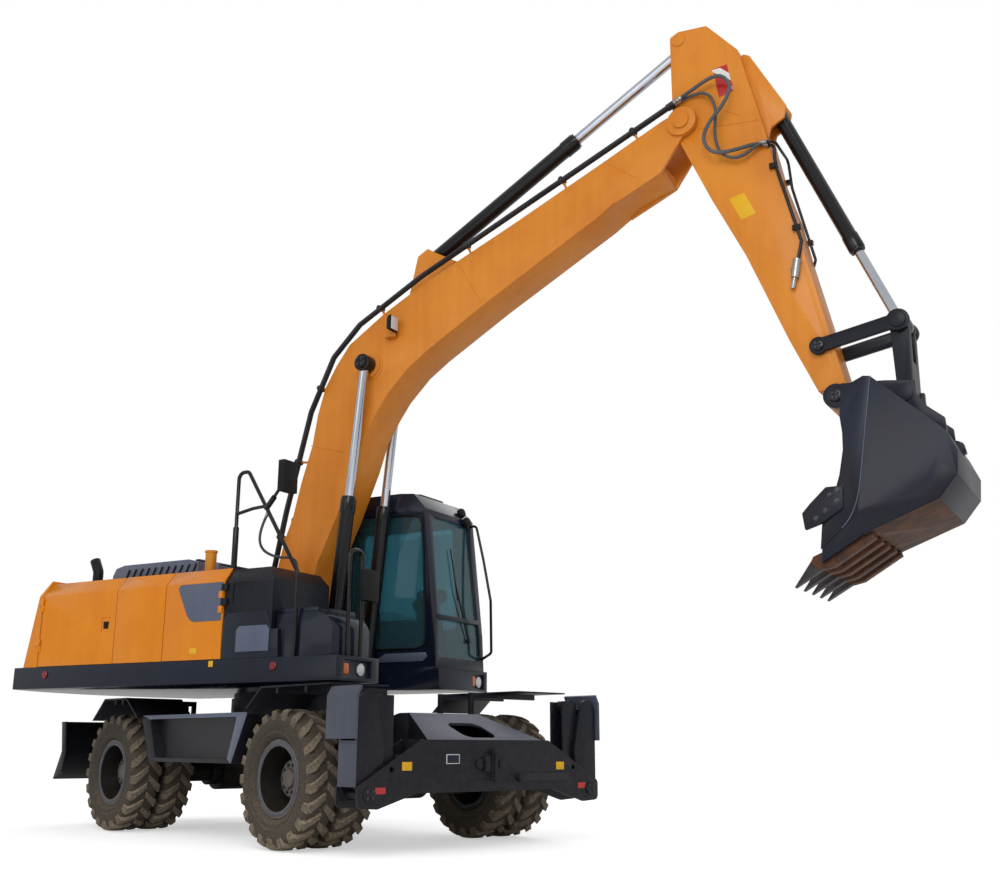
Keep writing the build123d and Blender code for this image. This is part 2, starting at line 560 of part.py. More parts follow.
# Bucket.
shell_outer = [(5300, 3285), (5515, 3345), (5990, 2885), (6055, 2730), (6040, 2570), (5910, 2410), (5385, 2207),
               (5080, 2030)]
shell_inner = [(5100, 2075), (5380, 2240), (5890, 2440), (6010, 2590), (6025, 2720), (5970, 2865), (5492, 3272),
               (5310, 3232)]
bucket_half = 540
with BuildPart() as bucket:
    slab(shell_outer + shell_inner, (-bucket_half, bucket_half))
    slab([(5650, 3226), (5440, 3354), (5440, 3500), (5700, 3500)], (-arm_half - 4, arm_half + 4), mode=Mode.SUBTRACT)
    side_face = [(5300, 3285), (5515, 3345), (5990, 2885), (6055, 2730), (6040, 2570), (5910, 2410), (5385, 2207),
                 (5080, 2030), (5107, 2344), (5180, 2452), (5248, 2645), (5285, 2827), (5289, 2952), (5278, 3079)]
    for s in (-1, 1):
        slab(side_face, sorted((s * bucket_half, s * (bucket_half - 25))))
        y = sorted((s * (arm_half + side_gap), s * (arm_half + side_gap + 45)))
        slab([(5170, 3250), (5230, 3423), (5550, 3400), (5763, 3370), (5764, 3266), (5836, 3159), (5944, 3065),
              (5950, 2960), (5500, 3300), (5300, 3240)], y)
        disc(bucket_pin, y, 95)
        disc(bucket_link, sorted((s * (arm_half + side_gap), s * (arm_half + side_gap + 55))), 60)
        disc(bucket_pin, y, 45 + pin_play, Mode.SUBTRACT)
        slab([(5300, 3280), (5464, 3354), (5515, 3345), (5353, 2360), (5240, 2260), (5080, 2120), (5107, 2344),
              (5182, 2452), (5248, 2645), (5285, 2827), (5289, 2952), (5278, 3079)],
             sorted((s * (bucket_half - 1), s * (bucket_half + 9))))
        slab([(5335, 2385), (5700, 2470), (5850, 2560), (5905, 2690), (6030, 2570), (5905, 2415), (5385, 2210),
              (5250, 2180)], sorted((s * (bucket_half - 1), s * (bucket_half + 5))))
        slab([(5150, 2560), (5270, 2560), (5262, 2400), (5093, 2296), (4985, 2262), (4970, 2385), (5030, 2450)],
             sorted((s * (bucket_half + 9), s * (bucket_half + 34))), radius=8)
    disc(bucket_link, (-arm_half - side_gap - 1, arm_half + side_gap + 1), link_pin_r)
    slab([(5930, 2870), (5985, 2925), (6030, 2900), (6045, 2830), (6000, 2800)], (-30, 30), radius=12)
    for i in range(5):
        y = -450 + 225 * i
        slab([(5440, 2225), (5150, 2135), (5010, 2080), (4985, 2030), (5060, 1985), (5150, 2005), (5450, 2185)],
             (y - 48, y + 48))
        slab([(5012, 2082), (4860, 1870), (5062, 1986)], (y - 34, y + 34))
save(turned(bucket.part), "bucket")

# Upper structure.
def tail_x_at(y):
    return -math.sqrt(tail_r**2 - y**2)


def tail_sketch(front):
    with BuildLine(mode=Mode.PRIVATE) as path:
        Polyline((tail_x_at(half_width), half_width), (front, half_width), (front, -half_width),
                 (tail_x_at(half_width), -half_width))
        ThreePointArc((tail_x_at(half_width), -half_width), (-tail_r, 0), (tail_x_at(half_width), half_width))
    make_face(path.edges())


with BuildPart() as deck:
    with BuildSketch(Plane.XY.offset(rail_low), mode=Mode.PRIVATE) as floor:
        tail_sketch(tail_x)
    extrude(floor.sketch, amount=rail_top - rail_low)
    layer([(tail_x, -half_width), (1367, -half_width), (1367, -670), (640, -670), (640, 375), (1262, 375),
           (1262, half_width), (tail_x, half_width)], (rail_low, rail_low + 30))
    for y in ((-half_width, -half_width + 60), (half_width - 60, half_width)):
        block((tail_x, 1367 if y[0] < 0 else 1262), y, (rail_low, rail_top))
    for y in ((-700, -670), (375, 405)):
        block((600, 1367 if y[0] < 0 else 1262), y, (rail_low, rail_top))
    block((1277, 1367), (-half_width, -670), (rail_low, rail_top))
    block((1232, 1300), (375, half_width), (rail_low, rail_top - 6))
    block((1330, 1368), (-1150, -770), (1295, 1435), Mode.SUBTRACT)
    block((1268, 1301), (980, 1200), (1290, 1425), Mode.SUBTRACT)
    for s in (-1, 1):
        slab([(-420, rail_low), (-260, 1960), (-160, 2080), (0, 2080), (90, 1960), (450, 1540), (545, 1520),
              (620, 1440), (610, rail_low)], sorted((s * (boom_half + side_gap), s * (boom_half + side_gap + 14))))
        disc(ram_base, sorted((s * (boom_half + side_gap), s * (ram_y + eye_half + 20))), 45)
    disc(ram_base, (-boom_half - side_gap, boom_half + side_gap), 70)
    disc(foot, (-boom_half - side_gap - 14, boom_half + side_gap + 14), 60)
    rod((0, 0, 1222), (0, 0, rail_low + 10), 590)
    rod((0, 0, 1222), (0, 0, rail_low + 40), 300, Mode.SUBTRACT)
save(turned(deck.part), "upper_frame")

hinge_r = 9


def knuckle(x, y, z, tall, seat, bar):
    """Hinge knuckle on a door's axis, with the bar that joins it to its panel."""
    rod((x, y, z), (x, y, z + tall), hinge_r)
    block(bar, sorted((y, seat)), (z, z + tall))


rear_hinge, front_hinge = tail_x + 14, seam_front - 12
hinge_y = half_width + 12
with BuildPart() as counterweight:
    for z, side_y, back, corner in ((rail_top, half_width, -2750, -2380), (panel_top, half_width, -2625, -2245),
                                    (roof_z + 30, roof_half, -2565, -2210)):
        with BuildSketch(Plane.XY.offset(z)):
            with BuildLine():
                Polyline((corner + 50, side_y), (tail_x - 5, side_y), (tail_x - 5, -side_y), (corner + 50, -side_y))
                Line((corner + 50, -side_y), (corner, 60 - side_y))
                ThreePointArc((corner, 60 - side_y), (back, 0), (corner, side_y - 60))
                Line((corner, side_y - 60), (corner + 50, side_y))
            make_face()
    loft(ruled=True)
    for s in (-1, 1):
        for z in (1600, 1980):
            knuckle(rear_hinge, s * hinge_y, z + 62, 60, s * half_width, (rear_hinge - 60, rear_hinge))
save(turned(counterweight.part), "counterweight")

with BuildPart() as engine:
    block((-1950, -1000), (-450, 500), (rail_low + 30, 2150))
save(turned(engine.part), "engine_block")

hood_hinge = (302, 2270)
with BuildPart() as housing:
    for x in (tail_x, seam_rear - 10, seam_mid - 10, seam_front - 30):
        wall([(-1188, rail_low + 30), (1188, rail_low + 30), (1188, panel_top - 40), (1110, roof_z - 20),
              (-1110, roof_z - 20), (-1188, panel_top - 40)], (x, x + 20))
    block((tail_x, seam_front), (-roof_half, roof_half), (roof_z - shell, roof_z))
    block((-1640, -525), (-900, 300), (roof_z - shell - 1, roof_z + 1), Mode.SUBTRACT)
    block((-500, seam_front + 30), (-boom_half - 60, boom_half + 60), (rail_low + 20, 2600), Mode.SUBTRACT)
    block((-540, seam_front + 30), (370, 1300), (rail_low + 20, 2600), Mode.SUBTRACT)
    block((-1950, -1000), (-470, 520), (rail_low + 20, 2160), Mode.SUBTRACT)
    for x in (-1380, -730):
        rod((x, hood_hinge[0], hood_hinge[1]), (x + 60, hood_hinge[0], hood_hinge[1]), 12)
        block((x, x + 60), (hood_hinge[0] + 2, hood_hinge[0] + 12), (roof_z, hood_hinge[1]))
save(turned(housing.part), "housing_frame")


def side_door(x, s):
    wall([(s * half_width, rail_top + 4), (s * half_width, panel_top), (s * (roof_half + 1), roof_z),
          (s * (roof_half + 1), roof_z - shell), (s * (half_width - shell), panel_top - 8),
          (s * (half_width - shell), rail_top + 4)], x)


for name, x, s, axis_x in (("right_rear_door", (tail_x + door_gap, seam_rear - door_gap / 2), -1, rear_hinge),
                           ("right_front_door", (seam_mid + door_gap / 2, seam_front - door_gap / 2), -1, front_hinge),
                           ("left_rear_door", (tail_x + door_gap, seam_rear - door_gap / 2), 1, rear_hinge)):
    with BuildPart() as door:
        side_door(x, s)
        for z in (1858, 1985) if axis_x == front_hinge else (1600, 1980):
            knuckle(axis_x, s * hinge_y, z, 60, s * half_width,
                    (axis_x, axis_x + 16) if axis_x < x[0] + 20 else (axis_x - 40, axis_x))
        if name == "right_rear_door":
            block((-1330, -1210), (-half_width - 1, -half_width + 8), (1755, 1885), Mode.SUBTRACT)
    save(turned(door.part), name)
with BuildPart() as panels:
    side_door((seam_rear + door_gap / 2, seam_mid - door_gap / 2), -1)
    side_door((seam_rear + door_gap / 2, -540), 1)
    for y in ((-roof_half - 2, -roof_half), (roof_half, roof_half + 2)):
        block((seam_rear + 40, seam_mid - 40), y, (roof_z - shell, roof_z))
save(turned(panels.part), "side_panels")

with BuildPart() as hood:
    slab([(-1630, roof_z - 10), (-1630, 2330), (-1590, 2400), (-1480, 2425), (-655, 2425), (-535, 2395),
          (-535, roof_z - 10)], (-890, 290))
    slab([(-1610, roof_z - 11), (-1610, 2325), (-1575, 2385), (-1475, 2405), (-660, 2405), (-555, 2378),
          (-555, roof_z - 11)], (-870, 270), mode=Mode.SUBTRACT)
    for x in (-1442, -792):
        rod((x, hood_hinge[0], hood_hinge[1]), (x + 60, hood_hinge[0], hood_hinge[1]), 12)
        block((x, x + 60), (288, hood_hinge[0]), (hood_hinge[1] - 6, hood_hinge[1] + 6))
save(turned(hood.part), "engine_hood")

tank_end = 670
lid_axis = (684, 1874)
with BuildPart() as tank:
    wall([(-half_width + 10, rail_top), (-half_width + 10, 2110), (-1150, 2240), (-480, 2240), (-480, rail_top)],
         (seam_front + 5, tank_end))
    slab([(560, 2241), (671, 2130), (671, 2241)], (-half_width, -479), mode=Mode.SUBTRACT)
    block((230, 470), (-half_width + 9, -half_width + 19), (1930, 2110), Mode.SUBTRACT)
    rod((216, -480, 2016), (216, -345, 2016), 78)
    for z in (1858, 1985):
        knuckle(front_hinge, -hinge_y, z + 62, 60, -half_width - 2, (front_hinge, seam_front + 40))
        block((seam_front + 5, seam_front + 40), (-half_width - 2, -half_width + 10), (z + 62, z + 122))
    for y in (-1100, -800):
        rod((lid_axis[0], y, lid_axis[1]), (lid_axis[0], y + 50, lid_axis[1]), hinge_r)
        block((tank_end, lid_axis[0]), (y, y + 50), (lid_axis[1] - 4, lid_axis[1] + 4))
save(turned(tank.part), "fuel_tank")

box_outer = -1190
with BuildPart() as tool_box:
    slab([(680, rail_top), (1270, rail_top), (1270, 1700), (1215, 1790), (1120, 1830), (680, 1830)],
         (box_outer, -680))
    slab([(700, rail_top + 20), (1250, rail_top + 20), (1250, 1695), (1200, 1775), (1115, 1811), (1115, 1831),
          (700, 1831)], (box_outer + 20, -700), mode=Mode.SUBTRACT)
    slab([(seam_front + 5, rail_top), (tank_end, rail_top), (tank_end, 1700), (620, 1855), (190, 1855),
          (seam_front + 5, 1790)], (-half_width, -half_width + 10))
    slab([(tank_end, rail_top), (760, rail_top), (745, 1700), (tank_end, 1700)], (-half_width, box_outer))
save(turned(tool_box.part), "tool_box")
with BuildPart() as tool_lid:
    block((lid_axis[0] - 9, 1110), (box_outer + 10, -675), (1832, lid_axis[1] - hinge_r))
    for y in (-1048, -748):
        rod((lid_axis[0], y, lid_axis[1]), (lid_axis[0], y + 50, lid_axis[1]), hinge_r)
        block((lid_axis[0], lid_axis[0] + 30), (y, y + 50), (lid_axis[1] - 10, lid_axis[1] - 2))
save(turned(tool_lid.part), "tool_box_lid")

# Cab.
cab_rear, cab_front, cab_right, cab_left = -520, 1262, 377, half_width
cab_low, cab_top = rail_top, 3130
profile = [(cab_rear, cab_low), (cab_front, cab_low), (1245, 1800), (1120, 2960), (980, cab_top - 15), (820, cab_top),
           (-400, cab_top), (cab_rear, 3000)]
inner_profile = [(cab_rear + 45, cab_low + 30), (1215, cab_low + 30), (1200, 1800), (1075, 2940), (960, 3080),
                 (800, 3090), (-380, 3090), (cab_rear + 45, 2980)]
windscreen = [(440, 1560), (1190, 1560), (1150, 2900), (480, 2900)]
rear_window = [(480, 2100), (1150, 2100), (1150, 2900), (480, 2900)]
side_window = [(-380, 2000), (180, 2000), (180, 2950), (-380, 2950)]
front_side_window = [(280, 1760), (560, 1640), (1150, 1640), (1085, 2900), (280, 2950)]
screen_bar = [(1241, 1915), (1237, 1955), (1190, 1955), (1194, 1915)]
roof_window = [(0, 560), (520, 560), (520, 1080), (0, 1080)]
with BuildPart() as cab:
    slab(profile, (cab_right, cab_left))
    slab(inner_profile, (cab_right + 40, cab_left - 40), mode=Mode.SUBTRACT)
    slab(side_window, (cab_right - 1, cab_right + 41), 60, Mode.SUBTRACT)
    slab(front_side_window, (cab_right - 1, cab_right + 41), 60, Mode.SUBTRACT)
    slab([(-300, 1500), (1000, 1500), (1060, 1760), (970, 2980), (-300, 3000)], (cab_left - 41, cab_left + 1), 60,
         Mode.SUBTRACT)
    wall(windscreen, (1000, 1300), 50, Mode.SUBTRACT)
    wall(rear_window, (-600, -400), 50, Mode.SUBTRACT)
    layer(roof_window, (3050, 3200), 50, Mode.SUBTRACT)
    slab(screen_bar, (438, 1195))
    for z in (1720, 2640):
        knuckle(-300, hinge_y, z + 62, 60, cab_left, (-340, -300))
save(turned(cab.part), "cab_shell")

with BuildPart() as front_glass:
    slab([(1238, 1500), (1226, 1800), (1100, 2960), (1094, 2960), (1220, 1800), (1232, 1500)], (400, 1230))
    wall(windscreen, (1000, 1300), 50, Mode.INTERSECT)
    slab(screen_bar, (400, 1230), mode=Mode.SUBTRACT)
with BuildPart() as glass:
    add(front_glass.part)
    slab(side_window, (cab_right + 15, cab_right + 21), 60)
    slab(front_side_window, (cab_right + 15, cab_right + 21), 60)
    wall(rear_window, (cab_rear + 15, cab_rear + 21), 50)
    layer(roof_window, (cab_top - 20, cab_top - 14), 50)
save(turned(glass.part), "cab_glass")

door_face = [(-294, 1506), (994, 1506), (1054, 1762), (965, 2974), (-294, 2994)]
door_window = [(-225, 1880), (965, 1880), (900, 2910), (-225, 2930)]
with BuildPart() as cab_door:
    slab(door_face, (cab_left - 40, cab_left), 55)
    slab(door_window, (cab_left - 41, cab_left + 1), 55, Mode.SUBTRACT)
    slab(door_window, (cab_left - 25, cab_left - 19), 55)
    for z in (1720, 2640):
        knuckle(-300, hinge_y, z, 60, cab_left, (-300, -260))
    block((850, 960), (cab_left, cab_left + 16), (1800, 1850))
save(turned(cab_door.part), "cab_door")

with BuildPart() as interior:
    block((60, 470), (600, 1020), (cab_low + 30, 1700))
    block((0, 520), (560, 1060), (1700, 1850))
    slab([(-60, 1850), (90, 1850), (10, 2500), (-110, 2480)], (590, 1030))
    slab([(-105, 2470), (-15, 2470), (-50, 2680), (-140, 2670)], (690, 930))
    for y in ((430, 560), (1060, 1190)):
        block((-20, 500), y, (cab_low + 30, 1990))
    slab([(980, cab_low + 30), (1090, cab_low + 30), (960, 2120), (880, 2090)], (740, 880))
    rod((915, 810, 2110), (895, 810, 2150), 175)
    rod((935, 810, 2070), (905, 810, 2130), 30)
    slab([(1020, cab_low + 30), (1180, cab_low + 30), (1150, 1900), (1060, 2180), (1010, 2160)], (417, 520))
save(turned(interior.part), "cab_interior")

with BuildPart() as rails:
    pipe([(110, -1120, roof_z), (110, -1120, 3110), (230, -1130, 3110), (908, -1222, 2160), (908, -1222, rail_top)],
         17, 60)
    pipe([(110, -1120, 2740), (300, -1130, 2770), (470, -1162, 2770)], 15, 40)
    rod((110, -1120, roof_z), (110, -1120, 2620), 26)
    rod((480, -1163, 2745), (600, -1205, 2830), 24)
    rod((540, -1184, 2788), (700, -1200, 2960), 14)
    block((700, 765), (-1290, -1105), (2860, 3130))
    pipe([(1310, -1040, rail_top), (1310, -1040, 2350), (1310, -860, 2350), (1310, -860, rail_top)], 17, 70)
    rod((1310, -860, 2060), (1350, -850, 2060), 14)
    block((1345, 1405), (-940, -750), (1930, 2190))
    pipe([(1100, 1215, 2905), (1175, 1228, 2925), (1265, 1228, 2560), (1350, 1228, 2150), (1360, 1228, 1640),
          (1220, 1215, 1560)], 13, 40)
    slab(profile, (cab_right, cab_left), mode=Mode.SUBTRACT)
save(turned(rails.part), "handrails")

with BuildPart() as fittings:
    pipe([(-2050, -700, roof_z), (-2050, -700, 2430), (-2110, -700, 2545)], 50, 90)
    rod((-277, -1000, roof_z), (-277, -1000, 2440), 50)
    rod((-277, -1000, 2440), (-277, -1000, 2460), 57)
    rod((-170, -1020, roof_z), (-170, -1020, 2340), 22)
    layer([(560, 600), (900, 600), (900, 1060), (560, 1060)], (cab_top, cab_top + 32), 40)
    rod((60, 460, cab_top), (60, 460, cab_top + 90), 14)
save(turned(fittings.part), "roof_fittings")
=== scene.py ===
import math

import bmesh
import bpy
from mathutils import Matrix, Vector
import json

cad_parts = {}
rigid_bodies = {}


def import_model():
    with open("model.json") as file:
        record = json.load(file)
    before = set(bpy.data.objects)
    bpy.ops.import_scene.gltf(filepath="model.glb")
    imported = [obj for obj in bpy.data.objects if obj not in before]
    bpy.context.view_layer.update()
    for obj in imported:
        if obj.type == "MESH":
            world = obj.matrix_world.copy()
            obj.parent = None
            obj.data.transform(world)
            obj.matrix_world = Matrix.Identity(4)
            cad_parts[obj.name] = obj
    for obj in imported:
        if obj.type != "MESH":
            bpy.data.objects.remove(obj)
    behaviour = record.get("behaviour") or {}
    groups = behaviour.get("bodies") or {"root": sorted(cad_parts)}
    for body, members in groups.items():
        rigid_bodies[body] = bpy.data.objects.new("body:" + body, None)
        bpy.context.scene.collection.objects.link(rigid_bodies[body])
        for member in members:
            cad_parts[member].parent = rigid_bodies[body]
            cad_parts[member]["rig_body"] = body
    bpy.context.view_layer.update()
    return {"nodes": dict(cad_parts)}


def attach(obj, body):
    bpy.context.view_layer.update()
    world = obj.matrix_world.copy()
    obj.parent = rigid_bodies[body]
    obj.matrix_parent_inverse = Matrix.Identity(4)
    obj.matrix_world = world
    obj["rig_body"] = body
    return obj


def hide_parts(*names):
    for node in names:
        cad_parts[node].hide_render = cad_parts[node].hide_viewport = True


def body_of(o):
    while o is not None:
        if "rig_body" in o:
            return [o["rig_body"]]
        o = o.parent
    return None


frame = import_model()
nodes = frame["nodes"]
print("frame loaded")

# Frames: the undercarriage's, the upper machine's, turned on its ring, and the scene's own.
slew = {"x": -1.645, "y": -0.215, "angle": 17.6}
groundFrame = Matrix.Translation((slew["x"], slew["y"], 0))
upperFrame = groundFrame @ Matrix.Rotation(math.radians(slew["angle"]), 4, "Z")
rowFrame = Matrix.Identity(4)
ahead, leftward, up = Vector((1, 0, 0)), Vector((0, 1, 0)), Vector((0, 0, 1))

# Camera.
cameraView = {"place": (7.861, -6.476, 0.767), "turn": 47.186, "tilt": 14.754, "roll": 0.18, "lens": 42.17,
              "sensor": 36, "farthest": 200}
bpy.ops.object.camera_add()
camera = bpy.context.object
camera.matrix_world = (
    Matrix.Translation(cameraView["place"])
    @ Matrix.Rotation(math.radians(cameraView["turn"]), 4, "Z")
    @ Matrix.Rotation(math.radians(90 + cameraView["tilt"]), 4, "X")
    @ Matrix.Rotation(math.radians(cameraView["roll"]), 4, "Z")
)
camera.data.lens = cameraView["lens"]
camera.data.sensor_width = cameraView["sensor"]
camera.data.clip_end = cameraView["farthest"]
bpy.context.scene.camera = camera


# Shader groups.
def tone(red, green, blue):  # screen colour, 0 to 255, as the linear colour a shader takes
    def linear(value):
        value /= 255
        return value / 12.92 if value <= 0.04045 else ((value + 0.055) / 1.055) ** 2.4

    return (linear(red), linear(green), linear(blue), 1)


def newGroup(name, inputs, outputs):
    tree = bpy.data.node_groups.new(name, "ShaderNodeTree")
    for socket, kind, value in inputs:
        made = tree.interface.new_socket(socket, in_out="INPUT", socket_type="NodeSocket" + kind)
        made.default_value = value
    for socket, kind in outputs:
        tree.interface.new_socket(socket, in_out="OUTPUT", socket_type="NodeSocket" + kind)
    return tree, tree.nodes.new("NodeGroupInput"), tree.nodes.new("NodeGroupOutput")


def noiseNode(tree, coords, scale, detail, rough):
    node = tree.nodes.new("ShaderNodeTexNoise")
    node.inputs["Detail"].default_value = detail
    node.inputs["Roughness"].default_value = rough
    tree.links.new(coords, node.inputs["Vector"])
    if isinstance(scale, (int, float)):
        node.inputs["Scale"].default_value = scale
    else:
        tree.links.new(scale, node.inputs["Scale"])
    return node.outputs["Fac"]


def mathNode(tree, operation, first, second, clamp=False):
    node = tree.nodes.new("ShaderNodeMath")
    node.operation = operation
    node.use_clamp = clamp
    for socket, value in zip(node.inputs, (first, second)):
        if isinstance(value, (int, float)):
            socket.default_value = value
        else:
            tree.links.new(value, socket)
    return node.outputs[0]


def rangeNode(tree, value, low, high, toLow=0.0, toHigh=1.0):
    node = tree.nodes.new("ShaderNodeMapRange")
    tree.links.new(value, node.inputs["Value"])
    for socket, level in zip(("From Min", "From Max", "To Min", "To Max"), (low, high, toLow, toHigh)):
        if isinstance(level, (int, float)):
            node.inputs[socket].default_value = level
        else:
            tree.links.new(level, node.inputs[socket])
    return node.outputs["Result"]


def mixNode(tree, factor, first, second):
    node = tree.nodes.new("ShaderNodeMix")
    node.data_type = "RGBA"
    tree.links.new(factor, node.inputs[0])
    tree.links.new(first, node.inputs[6])
    tree.links.new(second, node.inputs[7])
    return node.outputs[2]


weatherShape = {
    "broad": (4, 0.55), "fine": (8, 0.68), "runs": (5, 0.6),  # noise detail and roughness
    "fineness": 11.0, "streak": (9, 9, 0.6), "runShare": 0.5, "mottleFrom": 0.55, "mottleTo": 0.95,
    "lying": 0.7, "everywhere": 0.12, "spotFrom": 0.36, "spotTo": 0.7, "leastSpot": 0.25, "dustRough": 0.4,
}
grainShape = {"coarse": (3, 0.5), "fine": (6, 0.7), "fineness": 6.0, "coarseShare": 0.6, "fineShare": 0.4}


def buildWeather():  # mottling, dust that lies low and on top, rain streaks and their gloss
    shape = weatherShape
    tree, given, result = newGroup(
        "weather",
        [("Colour", "Color", (0.5, 0.5, 0.5, 1)), ("Second", "Color", (0.4, 0.4, 0.4, 1)),
         ("Dirt", "Color", (0.4, 0.33, 0.25, 1)), ("Dust", "Float", 0.2), ("Low", "Float", 1.2),
         ("Scale", "Float", 2.0), ("Rough", "Float", 0.4), ("Spread", "Float", 0.1)],
        [("Colour", "Color"), ("Roughness", "Float")])
    scale = given.outputs["Scale"]
    coords = tree.nodes.new("ShaderNodeTexCoord").outputs["Object"]
    broad = noiseNode(tree, coords, scale, *shape["broad"])
    fine = noiseNode(tree, coords, mathNode(tree, "MULTIPLY", scale, shape["fineness"]), *shape["fine"])
    streaks = tree.nodes.new("ShaderNodeMapping")
    streaks.inputs["Scale"].default_value = shape["streak"]
    tree.links.new(coords, streaks.inputs["Vector"])
    runs = noiseNode(tree, streaks.outputs[0], scale, *shape["runs"])
    mottle = mathNode(tree, "ADD", broad, mathNode(tree, "MULTIPLY", runs, shape["runShare"]))
    mottle = rangeNode(tree, mottle, shape["mottleFrom"], shape["mottleTo"])
    colour = mixNode(tree, mottle, given.outputs["Colour"], given.outputs["Second"])
    split = tree.nodes.new("ShaderNodeSeparateXYZ")
    tree.links.new(coords, split.inputs[0])
    face = tree.nodes.new("ShaderNodeSeparateXYZ")
    tree.links.new(tree.nodes.new("ShaderNodeNewGeometry").outputs["Normal"], face.inputs[0])
    low = rangeNode(tree, split.outputs["Z"], given.outputs["Low"], 0.0)
    lying = mathNode(tree, "MULTIPLY", mathNode(tree, "MAXIMUM", face.outputs["Z"], 0.0), shape["lying"])
    spots = rangeNode(tree, fine, shape["spotFrom"], shape["spotTo"], shape["leastSpot"], 1.0)
    amount = mathNode(tree, "ADD", mathNode(tree, "ADD", low, lying), shape["everywhere"])
    amount = mathNode(tree, "MULTIPLY", amount, spots)
    amount = mathNode(tree, "MULTIPLY", amount, given.outputs["Dust"], True)
    colour = mixNode(tree, amount, colour, given.outputs["Dirt"])
    gloss = mathNode(tree, "MULTIPLY", mathNode(tree, "SUBTRACT", fine, 0.5), given.outputs["Spread"])
    gloss = mathNode(tree, "ADD", gloss, given.outputs["Rough"])
    gloss = mathNode(tree, "ADD", gloss, mathNode(tree, "MULTIPLY", amount, shape["dustRough"]), True)
    tree.links.new(colour, result.inputs["Colour"])
    tree.links.new(gloss, result.inputs["Roughness"])
    return tree


def buildGrain():  # orange peel on paint, pores on rubber and plastic
    shape = grainShape
    tree, given, result = newGroup("grain", [("Scale", "Float", 60.0)], [("Height", "Float")])
    scale = given.outputs["Scale"]
    coords = tree.nodes.new("ShaderNodeTexCoord").outputs["Object"]
    coarse = noiseNode(tree, coords, scale, *shape["coarse"])
    fine = noiseNode(tree, coords, mathNode(tree, "MULTIPLY", scale, shape["fineness"]), *shape["fine"])
    coarse = mathNode(tree, "MULTIPLY", coarse, shape["coarseShare"])
    height = mathNode(tree, "ADD", coarse, mathNode(tree, "MULTIPLY", fine, shape["fineShare"]))
    tree.links.new(height, result.inputs["Height"])
    return tree


weather, grain = buildWeather(), buildGrain()

